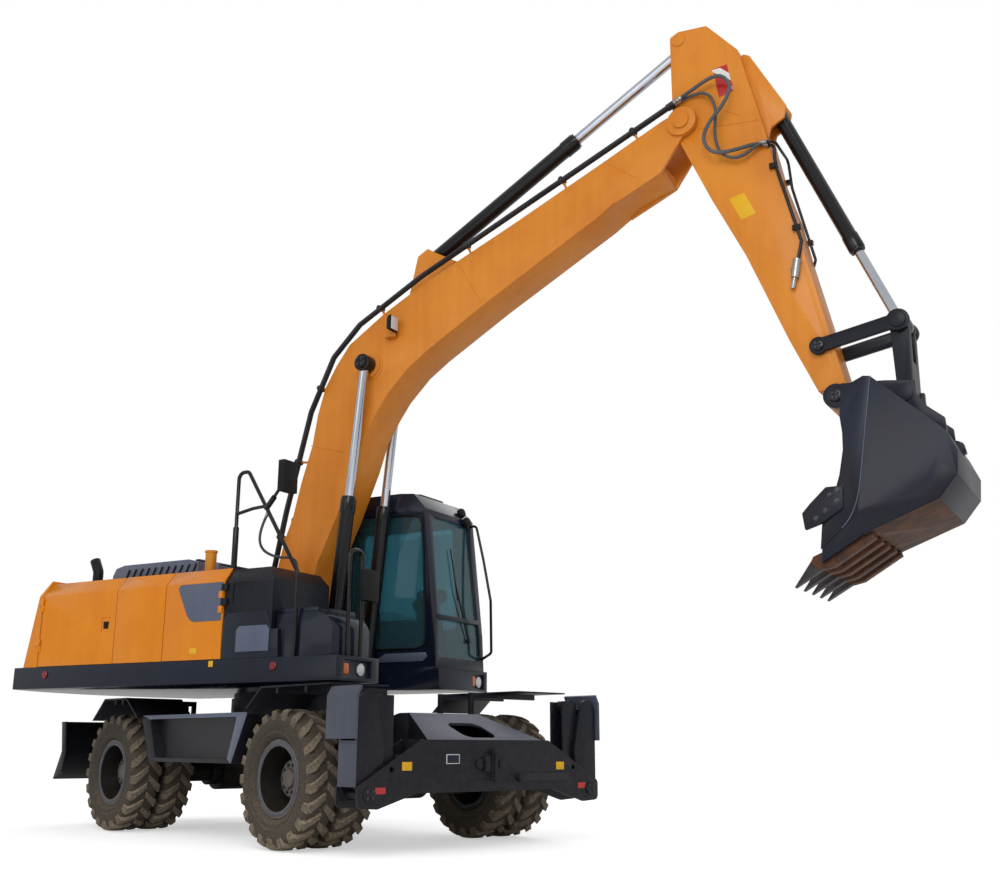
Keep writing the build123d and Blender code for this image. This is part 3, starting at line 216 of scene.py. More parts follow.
# Finishes: what a finish leaves out, it takes from the plain one.
plainFinish = dict(dirt=(150, 132, 108), low=1.3, scale=1.6, spread=0.12, metal=0, coat=0, coatRough=0.12,
                   shine=0.22, grain=70, bump=0.08, depth=0.002)
finishes = {
    "boomOrange": dict(colour=(220, 138, 44), second=(206, 122, 32), dust=0.06, rough=0.36, coat=0.12),
    "panelOrange": dict(colour=(228, 136, 10), second=(216, 124, 6), dust=0.04, rough=0.26, coat=0.25),
    "frameBlue": dict(colour=(17, 22, 34), second=(12, 16, 26), dust=0.07, rough=0.4, coat=0.05),
    "railBlue": dict(colour=(18, 27, 44), second=(13, 20, 34), dust=0.02, rough=0.26, coat=0.2),
    "slateBlue": dict(colour=(92, 100, 120), second=(80, 88, 108), dust=0.1, rough=0.34, coat=0.3),
    # lighter blue for the upward faces of the chassis and outrigger beam: painted top light, with some real
    # dust from the weather group
    "deckBluePaintedTopLight": dict(colour=(86, 95, 116), second=(72, 80, 100), dust=0.22, rough=0.45),
    "padBlue": dict(colour=(76, 82, 97), second=(64, 70, 84), dust=0.12, rough=0.4),
    "bucketBlue": dict(colour=(22, 31, 49), second=(28, 27, 34), dust=0.06, low=1.0, rough=0.36, scale=2.6),
    "wearRust": dict(colour=(104, 66, 44), second=(58, 46, 42), dust=0.15, rough=0.6, scale=9, metal=0.4),
    "toothSteel": dict(colour=(72, 70, 72), second=(48, 46, 48), dust=0.3, rough=0.5, scale=8, metal=0.7),
    "chrome": dict(colour=(212, 216, 224), second=(190, 196, 208), dust=0.03, rough=0.14, metal=1.0,
                   bump=0.02),
    "ramBlack": dict(colour=(15, 16, 20), second=(10, 11, 14), dust=0.05, rough=0.28, coat=0.3),
    "partBlack": dict(colour=(15, 16, 19), second=(21, 21, 23), dust=0.1, rough=0.48),
    "pipeSteel": dict(colour=(44, 46, 52), second=(62, 62, 66), dust=0.15, rough=0.38, metal=0.5),
    "treadRubber": dict(colour=(58, 54, 50), second=(40, 38, 37), dirt=(168, 152, 130), dust=0.75,
                        low=1.7, rough=0.78, scale=5, bump=0.5, grain=130),
    "wallRubber": dict(colour=(44, 41, 39), second=(34, 32, 31), dirt=(140, 126, 108), dust=0.45,
                       low=1.5, rough=0.7, scale=6, bump=0.35, grain=160),
    "rimBlack": dict(colour=(11, 12, 15), second=(17, 18, 22), dust=0.08, rough=0.35, coat=0.1, scale=5),
    "ringBlue": dict(colour=(80, 88, 106), second=(66, 72, 88), dust=0.2, rough=0.4, scale=5),
    "hubSteel": dict(colour=(112, 110, 108), second=(88, 84, 80), dust=0.35, rough=0.5, metal=0.5,
                     scale=12),
    "boltSteel": dict(colour=(84, 86, 92), second=(60, 62, 68), dust=0.2, rough=0.42, metal=0.8, scale=20),
    "trimPlastic": dict(colour=(13, 14, 16), second=(19, 20, 22), dust=0.08, rough=0.6, bump=0.3,
                        grain=300),
    "seatCloth": dict(colour=(48, 50, 56), second=(38, 40, 46), dust=0.1, rough=0.9, bump=0.6, grain=420),
    "hoseGrey": dict(colour=(96, 98, 102), second=(72, 74, 78), dust=0.15, rough=0.6, bump=0.6, grain=500),
    "fittingSteel": dict(colour=(192, 192, 190), second=(150, 150, 150), dust=0.1, rough=0.28, metal=0.9),
    "meshBlack": dict(colour=(18, 18, 20), second=(26, 26, 28), dust=0.2, rough=0.7),
    "lampWhite": dict(colour=(226, 228, 226), second=(200, 204, 206), dust=0.05, rough=0.12, coat=0.8,
                      grain=40),
    "lampAmber": dict(colour=(226, 112, 26), second=(206, 92, 18), dust=0.05, rough=0.15, coat=0.8,
                      grain=90),
    "lampRed": dict(colour=(130, 18, 20), second=(104, 12, 16), dust=0.05, rough=0.15, coat=0.8, grain=90),
    "labelYellow": dict(colour=(228, 176, 34), second=(218, 162, 26), dust=0.1, rough=0.4),
    "labelGrey": dict(colour=(206, 208, 210), second=(190, 192, 196), dust=0.1, rough=0.4),
    "reflectRed": dict(colour=(186, 34, 34), second=(168, 26, 28), dust=0.08, rough=0.25, coat=0.6,
                       grain=500),
    "reflectWhite": dict(colour=(226, 222, 218), second=(210, 206, 202), dust=0.08, rough=0.25, coat=0.6,
                         grain=500),
    "capYellow": dict(colour=(214, 146, 40), second=(196, 126, 30), dust=0.1, rough=0.35, coat=0.3),
}


def addWeather(tree, values):  # the weather group, set and linked to the shader
    wear = tree.nodes.new("ShaderNodeGroup")
    wear.node_tree = weather
    for socket, value in values.items():
        wear.inputs[socket].default_value = value
    shader = tree.nodes["Principled BSDF"]
    tree.links.new(wear.outputs["Colour"], shader.inputs["Base Color"])
    tree.links.new(wear.outputs["Roughness"], shader.inputs["Roughness"])
    return shader


def makeFinish(name, look):
    look = {**plainFinish, **look}
    material = bpy.data.materials.new(name)
    material.use_nodes = True
    tree = material.node_tree
    shader = addWeather(tree, {
        "Colour": tone(*look["colour"]), "Second": tone(*look["second"]), "Dirt": tone(*look["dirt"]),
        "Dust": look["dust"], "Low": look["low"], "Scale": look["scale"], "Rough": look["rough"],
        "Spread": look["spread"]})
    skin = tree.nodes.new("ShaderNodeGroup")
    skin.node_tree = grain
    skin.inputs["Scale"].default_value = look["grain"]
    bump = tree.nodes.new("ShaderNodeBump")
    bump.inputs["Strength"].default_value = look["bump"]
    bump.inputs["Distance"].default_value = look["depth"]
    tree.links.new(skin.outputs["Height"], bump.inputs["Height"])
    tree.links.new(bump.outputs["Normal"], shader.inputs["Normal"])
    shader.inputs["Metallic"].default_value = look["metal"]
    shader.inputs["Coat Weight"].default_value = look["coat"]
    shader.inputs["Coat Roughness"].default_value = look["coatRough"]
    shader.inputs["Specular IOR Level"].default_value = look["shine"]
    material.diffuse_color = tone(*look["colour"])
    return material


cabGlass = {"colour": (104, 158, 168), "second": (84, 138, 152), "dust": 0.08, "low": 2.2, "scale": 1.2,
            "rough": 0.04, "spread": 0.04, "clear": 0.85, "ior": 1.45}


def makeGlass():  # green-blue cab glass, a little dusty towards its lower edge
    material = bpy.data.materials.new("cabGlass")
    material.use_nodes = True
    shader = addWeather(material.node_tree, {
        "Colour": tone(*cabGlass["colour"]), "Second": tone(*cabGlass["second"]),
        "Dirt": tone(*plainFinish["dirt"]), "Dust": cabGlass["dust"], "Low": cabGlass["low"],
        "Scale": cabGlass["scale"], "Rough": cabGlass["rough"], "Spread": cabGlass["spread"]})
    shader.inputs["Transmission Weight"].default_value = cabGlass["clear"]
    shader.inputs["IOR"].default_value = cabGlass["ior"]
    return material


paints = {name: makeFinish(name, look) for name, look in finishes.items()}
paints["cabGlass"] = makeGlass()
print("finishes made")

# Modelling helpers. Angles are in degrees, distances in metres.
fineness = {"merge": 0.00005, "cadMerge": 0.00002, "flat": 1, "sharp": 32, "pipeSharp": 40, "pipeSteps": 8,
            "weldSides": 3}
washer = {"wide": 1.35, "thick": 0.003, "sides": 16, "headEdge": 0.12}  # wide and headEdge in bolt radii


def clearAll():
    if bpy.context.object and bpy.context.object.mode != "OBJECT":
        bpy.ops.object.mode_set(mode="OBJECT")
    bpy.ops.object.select_all(action="DESELECT")


def pickOnly(piece):
    clearAll()
    piece.select_set(True)
    bpy.context.view_layer.objects.active = piece


def editAll(piece):
    pickOnly(piece)
    bpy.ops.object.mode_set(mode="EDIT")
    bpy.ops.mesh.select_mode(type="VERT")
    bpy.ops.mesh.select_all(action="SELECT")


def softEdge(piece, width, steps=2):
    angle = math.radians(fineness["sharp"])
    pickOnly(piece)
    if width:
        bevel = piece.modifiers.new("edge", "BEVEL")
        bevel.width, bevel.segments, bevel.limit_method = width, steps, "ANGLE"
        bevel.angle_limit = angle
        bpy.ops.object.modifier_apply(modifier="edge")
    bpy.ops.object.shade_smooth_by_angle(angle=angle)


# Places, names and paints a finished shape, and gives it to its body.
def settle(piece, name, body, paint, space=groundFrame, standsFor=()):
    piece.data.transform(space)
    piece.name = name
    piece.data.materials.clear()
    piece.data.materials.append(paints[paint])
    if standsFor:
        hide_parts(*standsFor)
    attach(piece, body)
    return piece


def plate(outline, low, high, along, edge):  # a flat outline drawn out to a thickness
    clearAll()
    bpy.ops.mesh.primitive_circle_add(vertices=len(outline), fill_type="NGON")
    piece = bpy.context.object
    for vertex, (first, second) in zip(piece.data.vertices, outline):
        vertex.co = {"X": (low, first, second), "Y": (first, low, second), "Z": (first, second, low)}[along]
    drawn = {"X": (high - low, 0, 0), "Y": (0, high - low, 0), "Z": (0, 0, high - low)}[along]
    editAll(piece)
    bpy.ops.mesh.extrude_region_move(TRANSFORM_OT_translate={"value": drawn})
    bpy.ops.mesh.select_all(action="SELECT")
    bpy.ops.mesh.normals_make_consistent(inside=False)
    bpy.ops.object.mode_set(mode="OBJECT")
    softEdge(piece, edge)
    return piece


# A profile of (radius, along) spun on an axis. Closed, its last point joins its first.
def turned(profile, centre, axis, steps, closed=False):
    clearAll()
    bpy.ops.mesh.primitive_circle_add(vertices=len(profile), fill_type="NOTHING")
    piece = bpy.context.object
    for vertex, (radius, along) in zip(piece.data.vertices, profile):
        vertex.co = (radius, 0, along)
    editAll(piece)
    if not closed:
        bpy.ops.mesh.select_mode(type="EDGE")
        bpy.ops.mesh.select_all(action="DESELECT")
        last = len(profile) - 1
        mesh = bmesh.from_edit_mesh(piece.data)
        for part in mesh.edges:
            part.select = {v.index for v in part.verts} == {0, last}
        bmesh.update_edit_mesh(piece.data)
        bpy.ops.mesh.delete(type="EDGE")
        bpy.ops.mesh.select_mode(type="VERT")
        bpy.ops.mesh.select_all(action="SELECT")
    bpy.ops.mesh.spin(steps=steps, angle=math.tau, center=(0, 0, 0), axis=(0, 0, 1))
    bpy.ops.mesh.select_all(action="SELECT")
    bpy.ops.mesh.remove_doubles(threshold=fineness["merge"])
    bpy.ops.mesh.normals_make_consistent(inside=False)
    bpy.ops.object.mode_set(mode="OBJECT")
    piece.data.transform(facing(centre, axis))
    softEdge(piece, 0)
    return piece


def tube(points, radius, sides=4):  # a bent pipe of fixed shape
    clearAll()
    bpy.ops.curve.primitive_nurbs_path_add()
    piece = bpy.context.object
    curve = piece.data
    curve.splines.clear()
    spline = curve.splines.new("NURBS")
    spline.points.add(len(points) - 1)
    for point, spot in zip(spline.points, points):
        point.co = (*spot, 1)
    spline.order_u, spline.use_endpoint_u = 3, True
    spline.resolution_u = fineness["pipeSteps"]
    curve.bevel_depth, curve.bevel_resolution, curve.use_fill_caps = radius, sides, True
    pickOnly(piece)
    bpy.ops.object.convert(target="MESH")
    editAll(piece)
    bpy.ops.mesh.remove_doubles(threshold=fineness["merge"])
    bpy.ops.mesh.normals_make_consistent(inside=False)
    bpy.ops.object.mode_set(mode="OBJECT")
    bpy.ops.object.shade_smooth_by_angle(angle=math.radians(fineness["pipeSharp"]))
    return piece


def gather(pieces):
    clearAll()
    for piece in pieces:
        piece.select_set(True)
    bpy.context.view_layer.objects.active = pieces[0]
    bpy.ops.object.join()
    return bpy.context.object


def repeat(piece, places):  # copies of one modelled shape, each with its own mesh
    made = []
    for place in places:
        twin = piece.copy()
        twin.data = piece.data.copy()
        bpy.context.collection.objects.link(twin)
        twin.data.transform(place)
        made.append(twin)
    bpy.data.objects.remove(piece)
    return gather(made)


def boltHead(size, tall):  # hexagon head on a washer, standing along +Z
    thick, wide = washer["thick"], washer["wide"] * size
    middle = (0, 0, tall / 2 + thick)
    clearAll()
    bpy.ops.mesh.primitive_cylinder_add(vertices=6, radius=size, depth=tall, location=middle)
    head = bpy.context.object
    head.data.transform(head.matrix_world)
    head.matrix_world = Matrix.Identity(4)
    softEdge(head, size * washer["headEdge"], 1)
    disc = turned([(0, 0), (wide, 0), (wide, thick), (0, thick)], (0, 0, 0), up, washer["sides"])
    return gather([head, disc])


def facing(place, direction):  # stands a shape on a place, its +Z along the direction
    turn = up.rotation_difference(Vector(direction).normalized()).to_matrix().to_4x4()
    return Matrix.Translation(place) @ turn


def boltCircle(centre, out, across, ring, count, turn):  # places round a hub or pin, facing outwards
    spots = []
    for step in range(count):
        angle = math.radians(360 * step / count + turn)
        spots.append(facing(Vector(centre) + ring * (math.cos(angle) * across + math.sin(angle) * up), out))
    return spots


def corners(left, low, right, high):
    return [(left, low), (right, low), (right, high), (left, high)]


def dress(node, choose, edge, space):  # a softened, painted skin in place of a node of the frame
    source = nodes[node]
    piece = bpy.data.objects.new(node, source.data.copy())
    bpy.context.collection.objects.link(piece)
    piece.data.materials.clear()
    editAll(piece)
    bpy.ops.mesh.remove_doubles(threshold=fineness["cadMerge"])
    bpy.ops.mesh.dissolve_limited(angle_limit=math.radians(fineness["flat"]))
    bpy.ops.object.mode_set(mode="OBJECT")
    softEdge(piece, edge)
    back = space.inverted()
    turn = back.to_3x3()
    if isinstance(choose, str):
        piece.data.materials.append(paints[choose])
    else:
        used = []
        for face in piece.data.polygons:
            paint = choose(back @ face.center, turn @ face.normal)
            if paint not in used:
                used.append(paint)
                piece.data.materials.append(paints[paint])
            face.material_index = used.index(paint)
    piece.name = node + "Skin"
    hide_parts(node)
    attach(piece, body_of(source)[0])


def loft(sections, edge=0):  # one outline extruded from section to section
    clearAll()
    bpy.ops.mesh.primitive_circle_add(vertices=len(sections[0]), fill_type="NGON")
    piece = bpy.context.object
    for vertex, spot in zip(piece.data.vertices, sections[0]):
        vertex.co = spot
    editAll(piece)
    lift = Vector((0, 0, 0.01))  # each new section starts here, then every corner goes to its own place
    for old, new in zip(sections, sections[1:]):
        bpy.ops.mesh.extrude_region_move(TRANSFORM_OT_translate={"value": lift})
        mesh = bmesh.from_edit_mesh(piece.data)
        fresh = [vertex for vertex in mesh.verts if vertex.select]
        for vertex in fresh:
            at = min(range(len(old)), key=lambda k: (Vector(old[k]) + lift - vertex.co).length)
            vertex.co = new[at]
        bmesh.update_edit_mesh(piece.data)
    bpy.ops.mesh.select_all(action="SELECT")
    bpy.ops.mesh.normals_make_consistent(inside=False)
    bpy.ops.object.mode_set(mode="OBJECT")
    softEdge(piece, edge)
    return piece


def dressAll(space, rows):  # node, paint, edge, and the slot where it isn't the dark paint; the slot is not used
    for node, paint, edge, *slot in rows:
        dress(node, paint, edge, space)


def addPlates(plates, along):  # flat trim on the upper machine and its gear
    for name, row in plates.items():
        piece = plate(row["outline"], row["low"], row["high"], along, row["edge"])
        settle(piece, name, row["body"], row["paint"], upperFrame)


def addLamps(name, lamp, paint):  # one profile spun at each of its places
    made = [turned(lamp["profile"], place, lamp["axis"], lamp["steps"]) for place in lamp["places"]]
    settle(gather(made), name, "upper", paint, upperFrame)


def addWelds(name, weld, body, paint):  # the same seams on both sides
    made = []
    for side in (-1, 1):
        for seam in weld["seams"]:
            points = [(x, side * weld["out"], z) for x, z in seam]
            made.append(tube(points, weld["radius"], fineness["weldSides"]))
    settle(gather(made), name, body, paint, upperFrame)


# Free hoses: the routes of the part's source, in metres, in the upper machine's frame.
hoses = {
    "armHoseOuter": dict(node="arm_hose_outer", body="boom", width=0.032, length=1.75, points=[
        (3.990, -0.222, 6.150), (4.110, -0.222, 6.2004), (4.400, -0.262, 6.300), (4.530, -0.275, 6.150),
        (4.460, -0.280, 5.980), (4.300, -0.280, 5.830), (4.250, -0.280, 5.680), (4.340, -0.272, 5.545),
        (4.520, -0.250, 5.545), (4.700, -0.178, 5.600), (4.784, -0.178, 5.556)]),
    "armHoseInner": dict(node="arm_hose_inner", body="boom", width=0.026, length=1.36, points=[
        (3.990, -0.184, 6.150), (4.110, -0.184, 6.2004), (4.300, -0.216, 6.170), (4.370, -0.225, 6.000),
        (4.350, -0.225, 5.840), (4.345, -0.225, 5.690), (4.400, -0.225, 5.530), (4.560, -0.222, 5.470),
        (4.718, -0.210, 5.580), (4.780, -0.210, 5.570)]),
    "deckHose": dict(node="deck_hose", body="upper", width=0.024, length=0.86, points=[
        (0.475, -1.125, 2.725), (0.330, -1.060, 2.600), (0.270, -0.980, 2.440), (0.350, -0.850, 2.370),
        (0.440, -0.740, 2.385), (0.425, -0.640, 2.340), (0.425, -0.640, 2.240)]),
}
hoseCurve = {"resolution": 12, "sides": 5, "order": 3, "endSteps": 18}
crimp = [  # radius and distance along, in half widths of the hose
    (0, 0), (1.45, 0), (1.45, 1.2), (1.15, 1.5), (1.3, 1.8), (1.3, 4.6), (1.05, 5.0), (0, 5.0)]
for name, hose in hoses.items():
    half = hose["width"] / 2
    points = [upperFrame @ Vector(point) for point in hose["points"]]
    curve = bpy.data.curves.new(name, "CURVE")
    curve.dimensions = "3D"
    curve.resolution_u = hoseCurve["resolution"]
    curve.bevel_depth = half
    curve.bevel_resolution = hoseCurve["sides"]
    curve.use_fill_caps = True
    spline = curve.splines.new("NURBS")
    spline.points.add(len(points) - 1)
    for point, spot in zip(spline.points, points):
        point.co = (*spot, 1)
    spline.order_u = hoseCurve["order"]
    spline.use_endpoint_u = True
    piece = bpy.data.objects.new(name, curve)
    bpy.context.collection.objects.link(piece)
    curve.materials.append(paints["hoseGrey"])
    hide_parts(hose["node"])
    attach(piece, hose["body"])
    ends = []
    for at, toward in ((points[0], points[1]), (points[-1], points[-2])):  # crimped ends
        profile = [(half * out, half * along) for out, along in crimp]
        ends.append(turned(profile, at, (toward - at).normalized(), hoseCurve["endSteps"]))
    ends = settle(gather(ends), name + "Ends", hose["body"], "fittingSteel", rowFrame)
print("hoses laid")

# Wheels: spun casings, lugs modelled once and set round the tread.
wheel = {"radius": 0.518, "mid": 0.954, "twin": 0.16, "steps": 72, "front": 1.6, "rear": -1.2}
casingHalf = [  # radius and distance from the tyre's middle
    (0.498, 0), (0.496, 0.06), (0.487, 0.1), (0.472, 0.122), (0.452, 0.131), (0.425, 0.1365), (0.4, 0.1385),
    (0.372, 0.1375), (0.366, 0.1325), (0.345, 0.132), (0.339, 0.1365), (0.322, 0.132), (0.314, 0.124),
    (0.3, 0.114), (0.294, 0.1), (0.262, 0.095), (0.256, 0.09)]
casing = casingHalf + [(radius, -along) for radius, along in reversed(casingHalf[1:])]
lug = {
    "count": 21, "foot": 1.25, "tuck": 0.012, "tuckFrom": 0.12,
    "rows": [  # along the axle, top and foot radius, turn, half width
        (0.006, 0.518, 0.49, 0.0, 0.024), (0.055, 0.518, 0.49, 0.085, 0.029),
        (0.104, 0.514, 0.478, 0.175, 0.034), (0.13, 0.503, 0.46, 0.2, 0.035),
        (0.1385, 0.47, 0.44, 0.205, 0.034), (0.1375, 0.436, 0.428, 0.205, 0.03)],
}
hub = {
    "bolts": dict(size=0.011, tall=0.012, out=0.152, ring=0.104, count=10, turn=0),
    "nuts": dict(size=0.016, tall=0.018, out=0.066, ring=0.157, count=8, turn=22.5),
    "ring": [(0.205, 0.052), (0.2, 0.064), (0.19, 0.068), (0.182, 0.064), (0.18, 0.05)], "ringSteps": 48,
    "lock": [(0.246, 0.262), (0.25, 0.272), (0.262, 0.274), (0.27, 0.27), (0.27, 0.262)], "lockSteps": 64,
}
rimTone = {"ringFrom": 0.25, "ringOut": 0.2, "hubWithin": 0.15, "hubOut": 0.06}


def lugShape(side):
    sections = []
    for along, top, low, turn, wide in lug["rows"]:
        foot = wide * lug["foot"]
        ring = []
        for radius, spread in ((low, -foot), (top, -wide), (top, wide), (low, foot)):
            angle = turn + spread / wheel["radius"]
            tuck = lug["tuck"] if radius == low and along > lug["tuckFrom"] else 0
            ring.append((radius * math.sin(angle), side * (along - tuck), radius * math.cos(angle)))
        sections.append(ring)
    return loft(sections)


def makeTyres(name, node, body, x, side):
    for number, shift in enumerate((-wheel["twin"], wheel["twin"])):
        centre = Vector((x, side * (wheel["mid"] + shift), wheel["radius"]))
        wall = turned(casing, centre, (0, 1, 0), wheel["steps"], closed=True)
        lugs = []
        for edge, start in ((-1, 0), (1, 0.5)):  # one edge's lugs stand between the other's
            places = []
            for step in range(lug["count"]):
                angle = math.tau * (step + start) / lug["count"]
                places.append(Matrix.Translation(centre) @ Matrix.Rotation(angle, 4, "Y"))
            lugs.append(repeat(lugShape(edge), places))
        settle(wall, f"{name}Casing{number}", body, "wallRubber", standsFor=(node,))
        settle(gather(lugs), f"{name}Lugs{number}", body, "treadRubber")


def rimPaint(x, side):  # blue lock ring, bare hub, black dish
    def choose(at, normal):
        out = side * at.y - wheel["mid"]
        radius = math.hypot(at.x - x, at.z - wheel["radius"])
        if radius > rimTone["ringFrom"] and abs(out) > rimTone["ringOut"]:
            return "ringBlue"
        return "hubSteel" if radius < rimTone["hubWithin"] and out > rimTone["hubOut"] else "rimBlack"

    return choose


def makeHub(name, body, x, side):
    out = Vector((0, side, 0))
    middle = Vector((x, side * wheel["mid"], wheel["radius"]))
    heads = []
    for kind in ("bolts", "nuts"):
        bolt = hub[kind]
        spots = boltCircle(middle + out * bolt["out"], out, ahead, bolt["ring"], bolt["count"], bolt["turn"])
        heads.append(repeat(boltHead(bolt["size"], bolt["tall"]), spots))
    settle(gather(heads), name + "HubBolts", body, "boltSteel")
    ring = turned(hub["ring"], middle, out, hub["ringSteps"])
    lock = turned(hub["lock"], middle, out, hub["lockSteps"])
    settle(ring, name + "HubRing", body, "hubSteel")
    settle(lock, name + "LockRing", body, "ringBlue")


hands = ((1, "left"), (-1, "right"))
for side, hand in hands:
    for end in ("front", "rear"):
        x, body, name = wheel[end], f"{end}_wheel_{hand}", end + hand.capitalize()
        makeTyres(name, f"tyre_{end}_{hand}", body, x, side)
        dress(f"rim_{end}_{hand}", rimPaint(x, side), 0.002, groundFrame)
        makeHub(name, body, x, side)
print("wheels made")

# Painted steel of the undercarriage.
groundTone = {"flat": 0.35, "deckAbove": 0.8, "padOut": 1.19, "padAbove": 0.7, "boxOut": 1.2, "boxSide": 0.7,
              "bladeBack": -0.5, "bladeBelow": 0.42}


def paintedTopLightOnDeck(at, normal):
    # upward faces high on the frame get the lighter blue: painted top light, not a paint of its own
    top = normal.z > groundTone["flat"] and at.z > groundTone["deckAbove"]
    return "deckBluePaintedTopLight" if top else "frameBlue"


def legPaint(at, normal):
    pad = abs(at.y) > groundTone["padOut"] and at.z > groundTone["padAbove"]
    return "padBlue" if pad else "frameBlue"


def stepBoxPaint(at, normal):
    outside = abs(at.y) > groundTone["boxOut"] and abs(normal.y) > groundTone["boxSide"]
    return "slateBlue" if outside else "frameBlue"


def bladePaint(at, normal):
    plain = normal.x < groundTone["bladeBack"] and at.z < groundTone["bladeBelow"]
    return "slateBlue" if plain else "frameBlue"


dressAll(groundFrame, [
    ("chassis_frame", paintedTopLightOnDeck, 0.005),
    ("outrigger_beam", paintedTopLightOnDeck, 0.005),
    ("axles", "partBlack", 0.006),
    ("fenders", "frameBlue", 0.003),
    ("step_boxes", stepBoxPaint, 0.004),
    ("dozer_blade", bladePaint, 0.005),
    ("blade_ram_barrels", "ramBlack", 0.003),
    ("blade_ram_rods", "chrome", 0.002, "rod_chrome"),
])
for side, hand in hands:
    dressAll(groundFrame, [
        ("outrigger_leg_" + hand, legPaint, 0.004),
        ("outrigger_foot_" + hand, "padBlue", 0.005),
        ("outrigger_barrel_" + hand, "ramBlack", 0.003),
        ("outrigger_rod_" + hand, "chrome", 0.002, "rod_chrome"),
        ("steering_knuckle_" + hand, "partBlack", 0.005),
    ])

# Boom, arm, bucket and their rams. Pins are (x, z) in the upper machine's frame.
pins = {"boomRod": (0.834, 4.266), "armRod": (4.035, 6.785), "bucketRod": (5.678, 3.861),
        "bucket": (5.184, 3.334), "rocker": (5.078, 3.755)}
gearTone = {"eye": 0.11, "bossOut": 0.17, "bossBelow": 4, "fittingBelow": 4.53, "fittingOut": -0.17}
bucketTone = {"toothAhead": 5.062, "toothBelow": 2.083, "toothWithin": 0.5, "wearBelow": 2.24,
              "wearAhead": 5.46, "stripPitch": 0.225, "stripHalf": 0.05, "notTop": 0.5}


def rodPaint(pin):  # chrome up to a black eye
    def choose(at, normal):
        return "ramBlack" if math.hypot(at.x - pin[0], at.z - pin[1]) < gearTone["eye"] else "chrome"

    return choose


def armPaint(at, normal):
    boss = abs(at.y) > gearTone["bossOut"] and at.z < gearTone["bossBelow"]
    return "ramBlack" if boss else "boomOrange"


def armPipePaint(at, normal):
    fitting = at.z < gearTone["fittingBelow"] and at.y < gearTone["fittingOut"]
    return "fittingSteel" if fitting else "ramBlack"


def bucketPaint(at, normal):  # worn teeth, rusty strips under the cutting edge
    look = bucketTone
    if at.x < look["toothAhead"] and at.z < look["toothBelow"] and abs(at.y) < look["toothWithin"]:
        return "toothSteel"
    strip = min(abs(at.y - look["stripPitch"] * k) for k in range(-2, 3))
    worn = at.z < look["wearBelow"] and at.x < look["wearAhead"] and normal.z < look["notTop"]
    return "wearRust" if worn and strip < look["stripHalf"] else "bucketBlue"


dressAll(upperFrame, [
    ("boom", "boomOrange", 0.004, "boom_paint"),
    ("boom_pipes", "pipeSteel", 0),
    ("boom_ram_barrels", "ramBlack", 0.003),
    ("boom_ram_rods", rodPaint(pins["boomRod"]), 0.002, "rod_chrome"),
    ("arm_ram_barrel", "ramBlack", 0.003),
    ("arm_ram_rod", rodPaint(pins["armRod"]), 0.002, "rod_chrome"),
    ("arm", armPaint, 0.004, "boom_paint"),
    ("arm_pipes", armPipePaint, 0),
    ("bucket_ram_barrel", "ramBlack", 0.003),
    ("bucket_ram_rod", rodPaint(pins["bucketRod"]), 0.002, "rod_chrome"),
    ("rocker_links", "frameBlue", 0.004),
    ("bucket_link", "frameBlue", 0.004),
    ("bucket", bucketPaint, 0.004),
])
print("undercarriage and gear dressed")

# Upper machine.
upperTone = {"railBelow": 1.47, "topAbove": 2.2, "flat": 0.5, "paneInside": 1.224, "paneOutside": 1.232,
             "paneAbove": 1.9, "mirrorAhead": 1.34, "mirrorFrom": 0.69, "mirrorTo": 0.77, "mirrorOut": -1.1,
             "exhaustBehind": -1, "capBehind": -0.22, "coverBehind": 0}


def railPaint(at, normal):
    return "railBlue" if at.z < upperTone["railBelow"] else "frameBlue"


def housingPaint(at, normal):
    top = at.z > upperTone["topAbove"] and normal.z > upperTone["flat"]
    return "panelOrange" if top else "frameBlue"


def doorPaint(at, normal):
    pane = upperTone["paneInside"] < at.y < upperTone["paneOutside"] and at.z > upperTone["paneAbove"]
    return "cabGlass" if pane else "railBlue"


def handrailPaint(at, normal):
    onDeck = upperTone["mirrorFrom"] < at.x < upperTone["mirrorTo"] and at.y < upperTone["mirrorOut"]
    return "trimPlastic" if at.x > upperTone["mirrorAhead"] or onDeck else "ramBlack"


def fittingPaint(at, normal):
    if at.x < upperTone["exhaustBehind"]:
        return "partBlack"
    if at.x < upperTone["capBehind"]:
        return "capYellow"
    return "slateBlue" if at.x < upperTone["coverBehind"] else "railBlue"


dressAll(upperFrame, [
    ("upper_frame", railPaint, 0.005),
    ("counterweight", "panelOrange", 0.014, "counterweight"),
    ("engine_block", "partBlack", 0.01, "engine_block"),
    ("housing_frame", housingPaint, 0.003),
    ("right_rear_door", "panelOrange", 0.005, "panel_paint"),
    ("right_front_door", "panelOrange", 0.005, "panel_paint"),
    ("left_rear_door", "panelOrange", 0.005, "panel_paint"),
    ("side_panels", "panelOrange", 0.005, "panel_paint"),
    ("engine_hood", "slateBlue", 0.012),
    ("fuel_tank", "frameBlue", 0.012),
    ("tool_box", "railBlue", 0.008),
    ("tool_box_lid", "railBlue", 0.006),
    ("cab_shell", "railBlue", 0.008),
    ("cab_door", doorPaint, 0.003),
    ("cab_interior", "trimPlastic", 0.01, "seat_plastic"),
    ("cab_glass", "cabGlass", 0, "glass"),
    ("handrails", handrailPaint, 0.002),
    ("roof_fittings", fittingPaint, 0.003),
])
print("upper machine dressed")

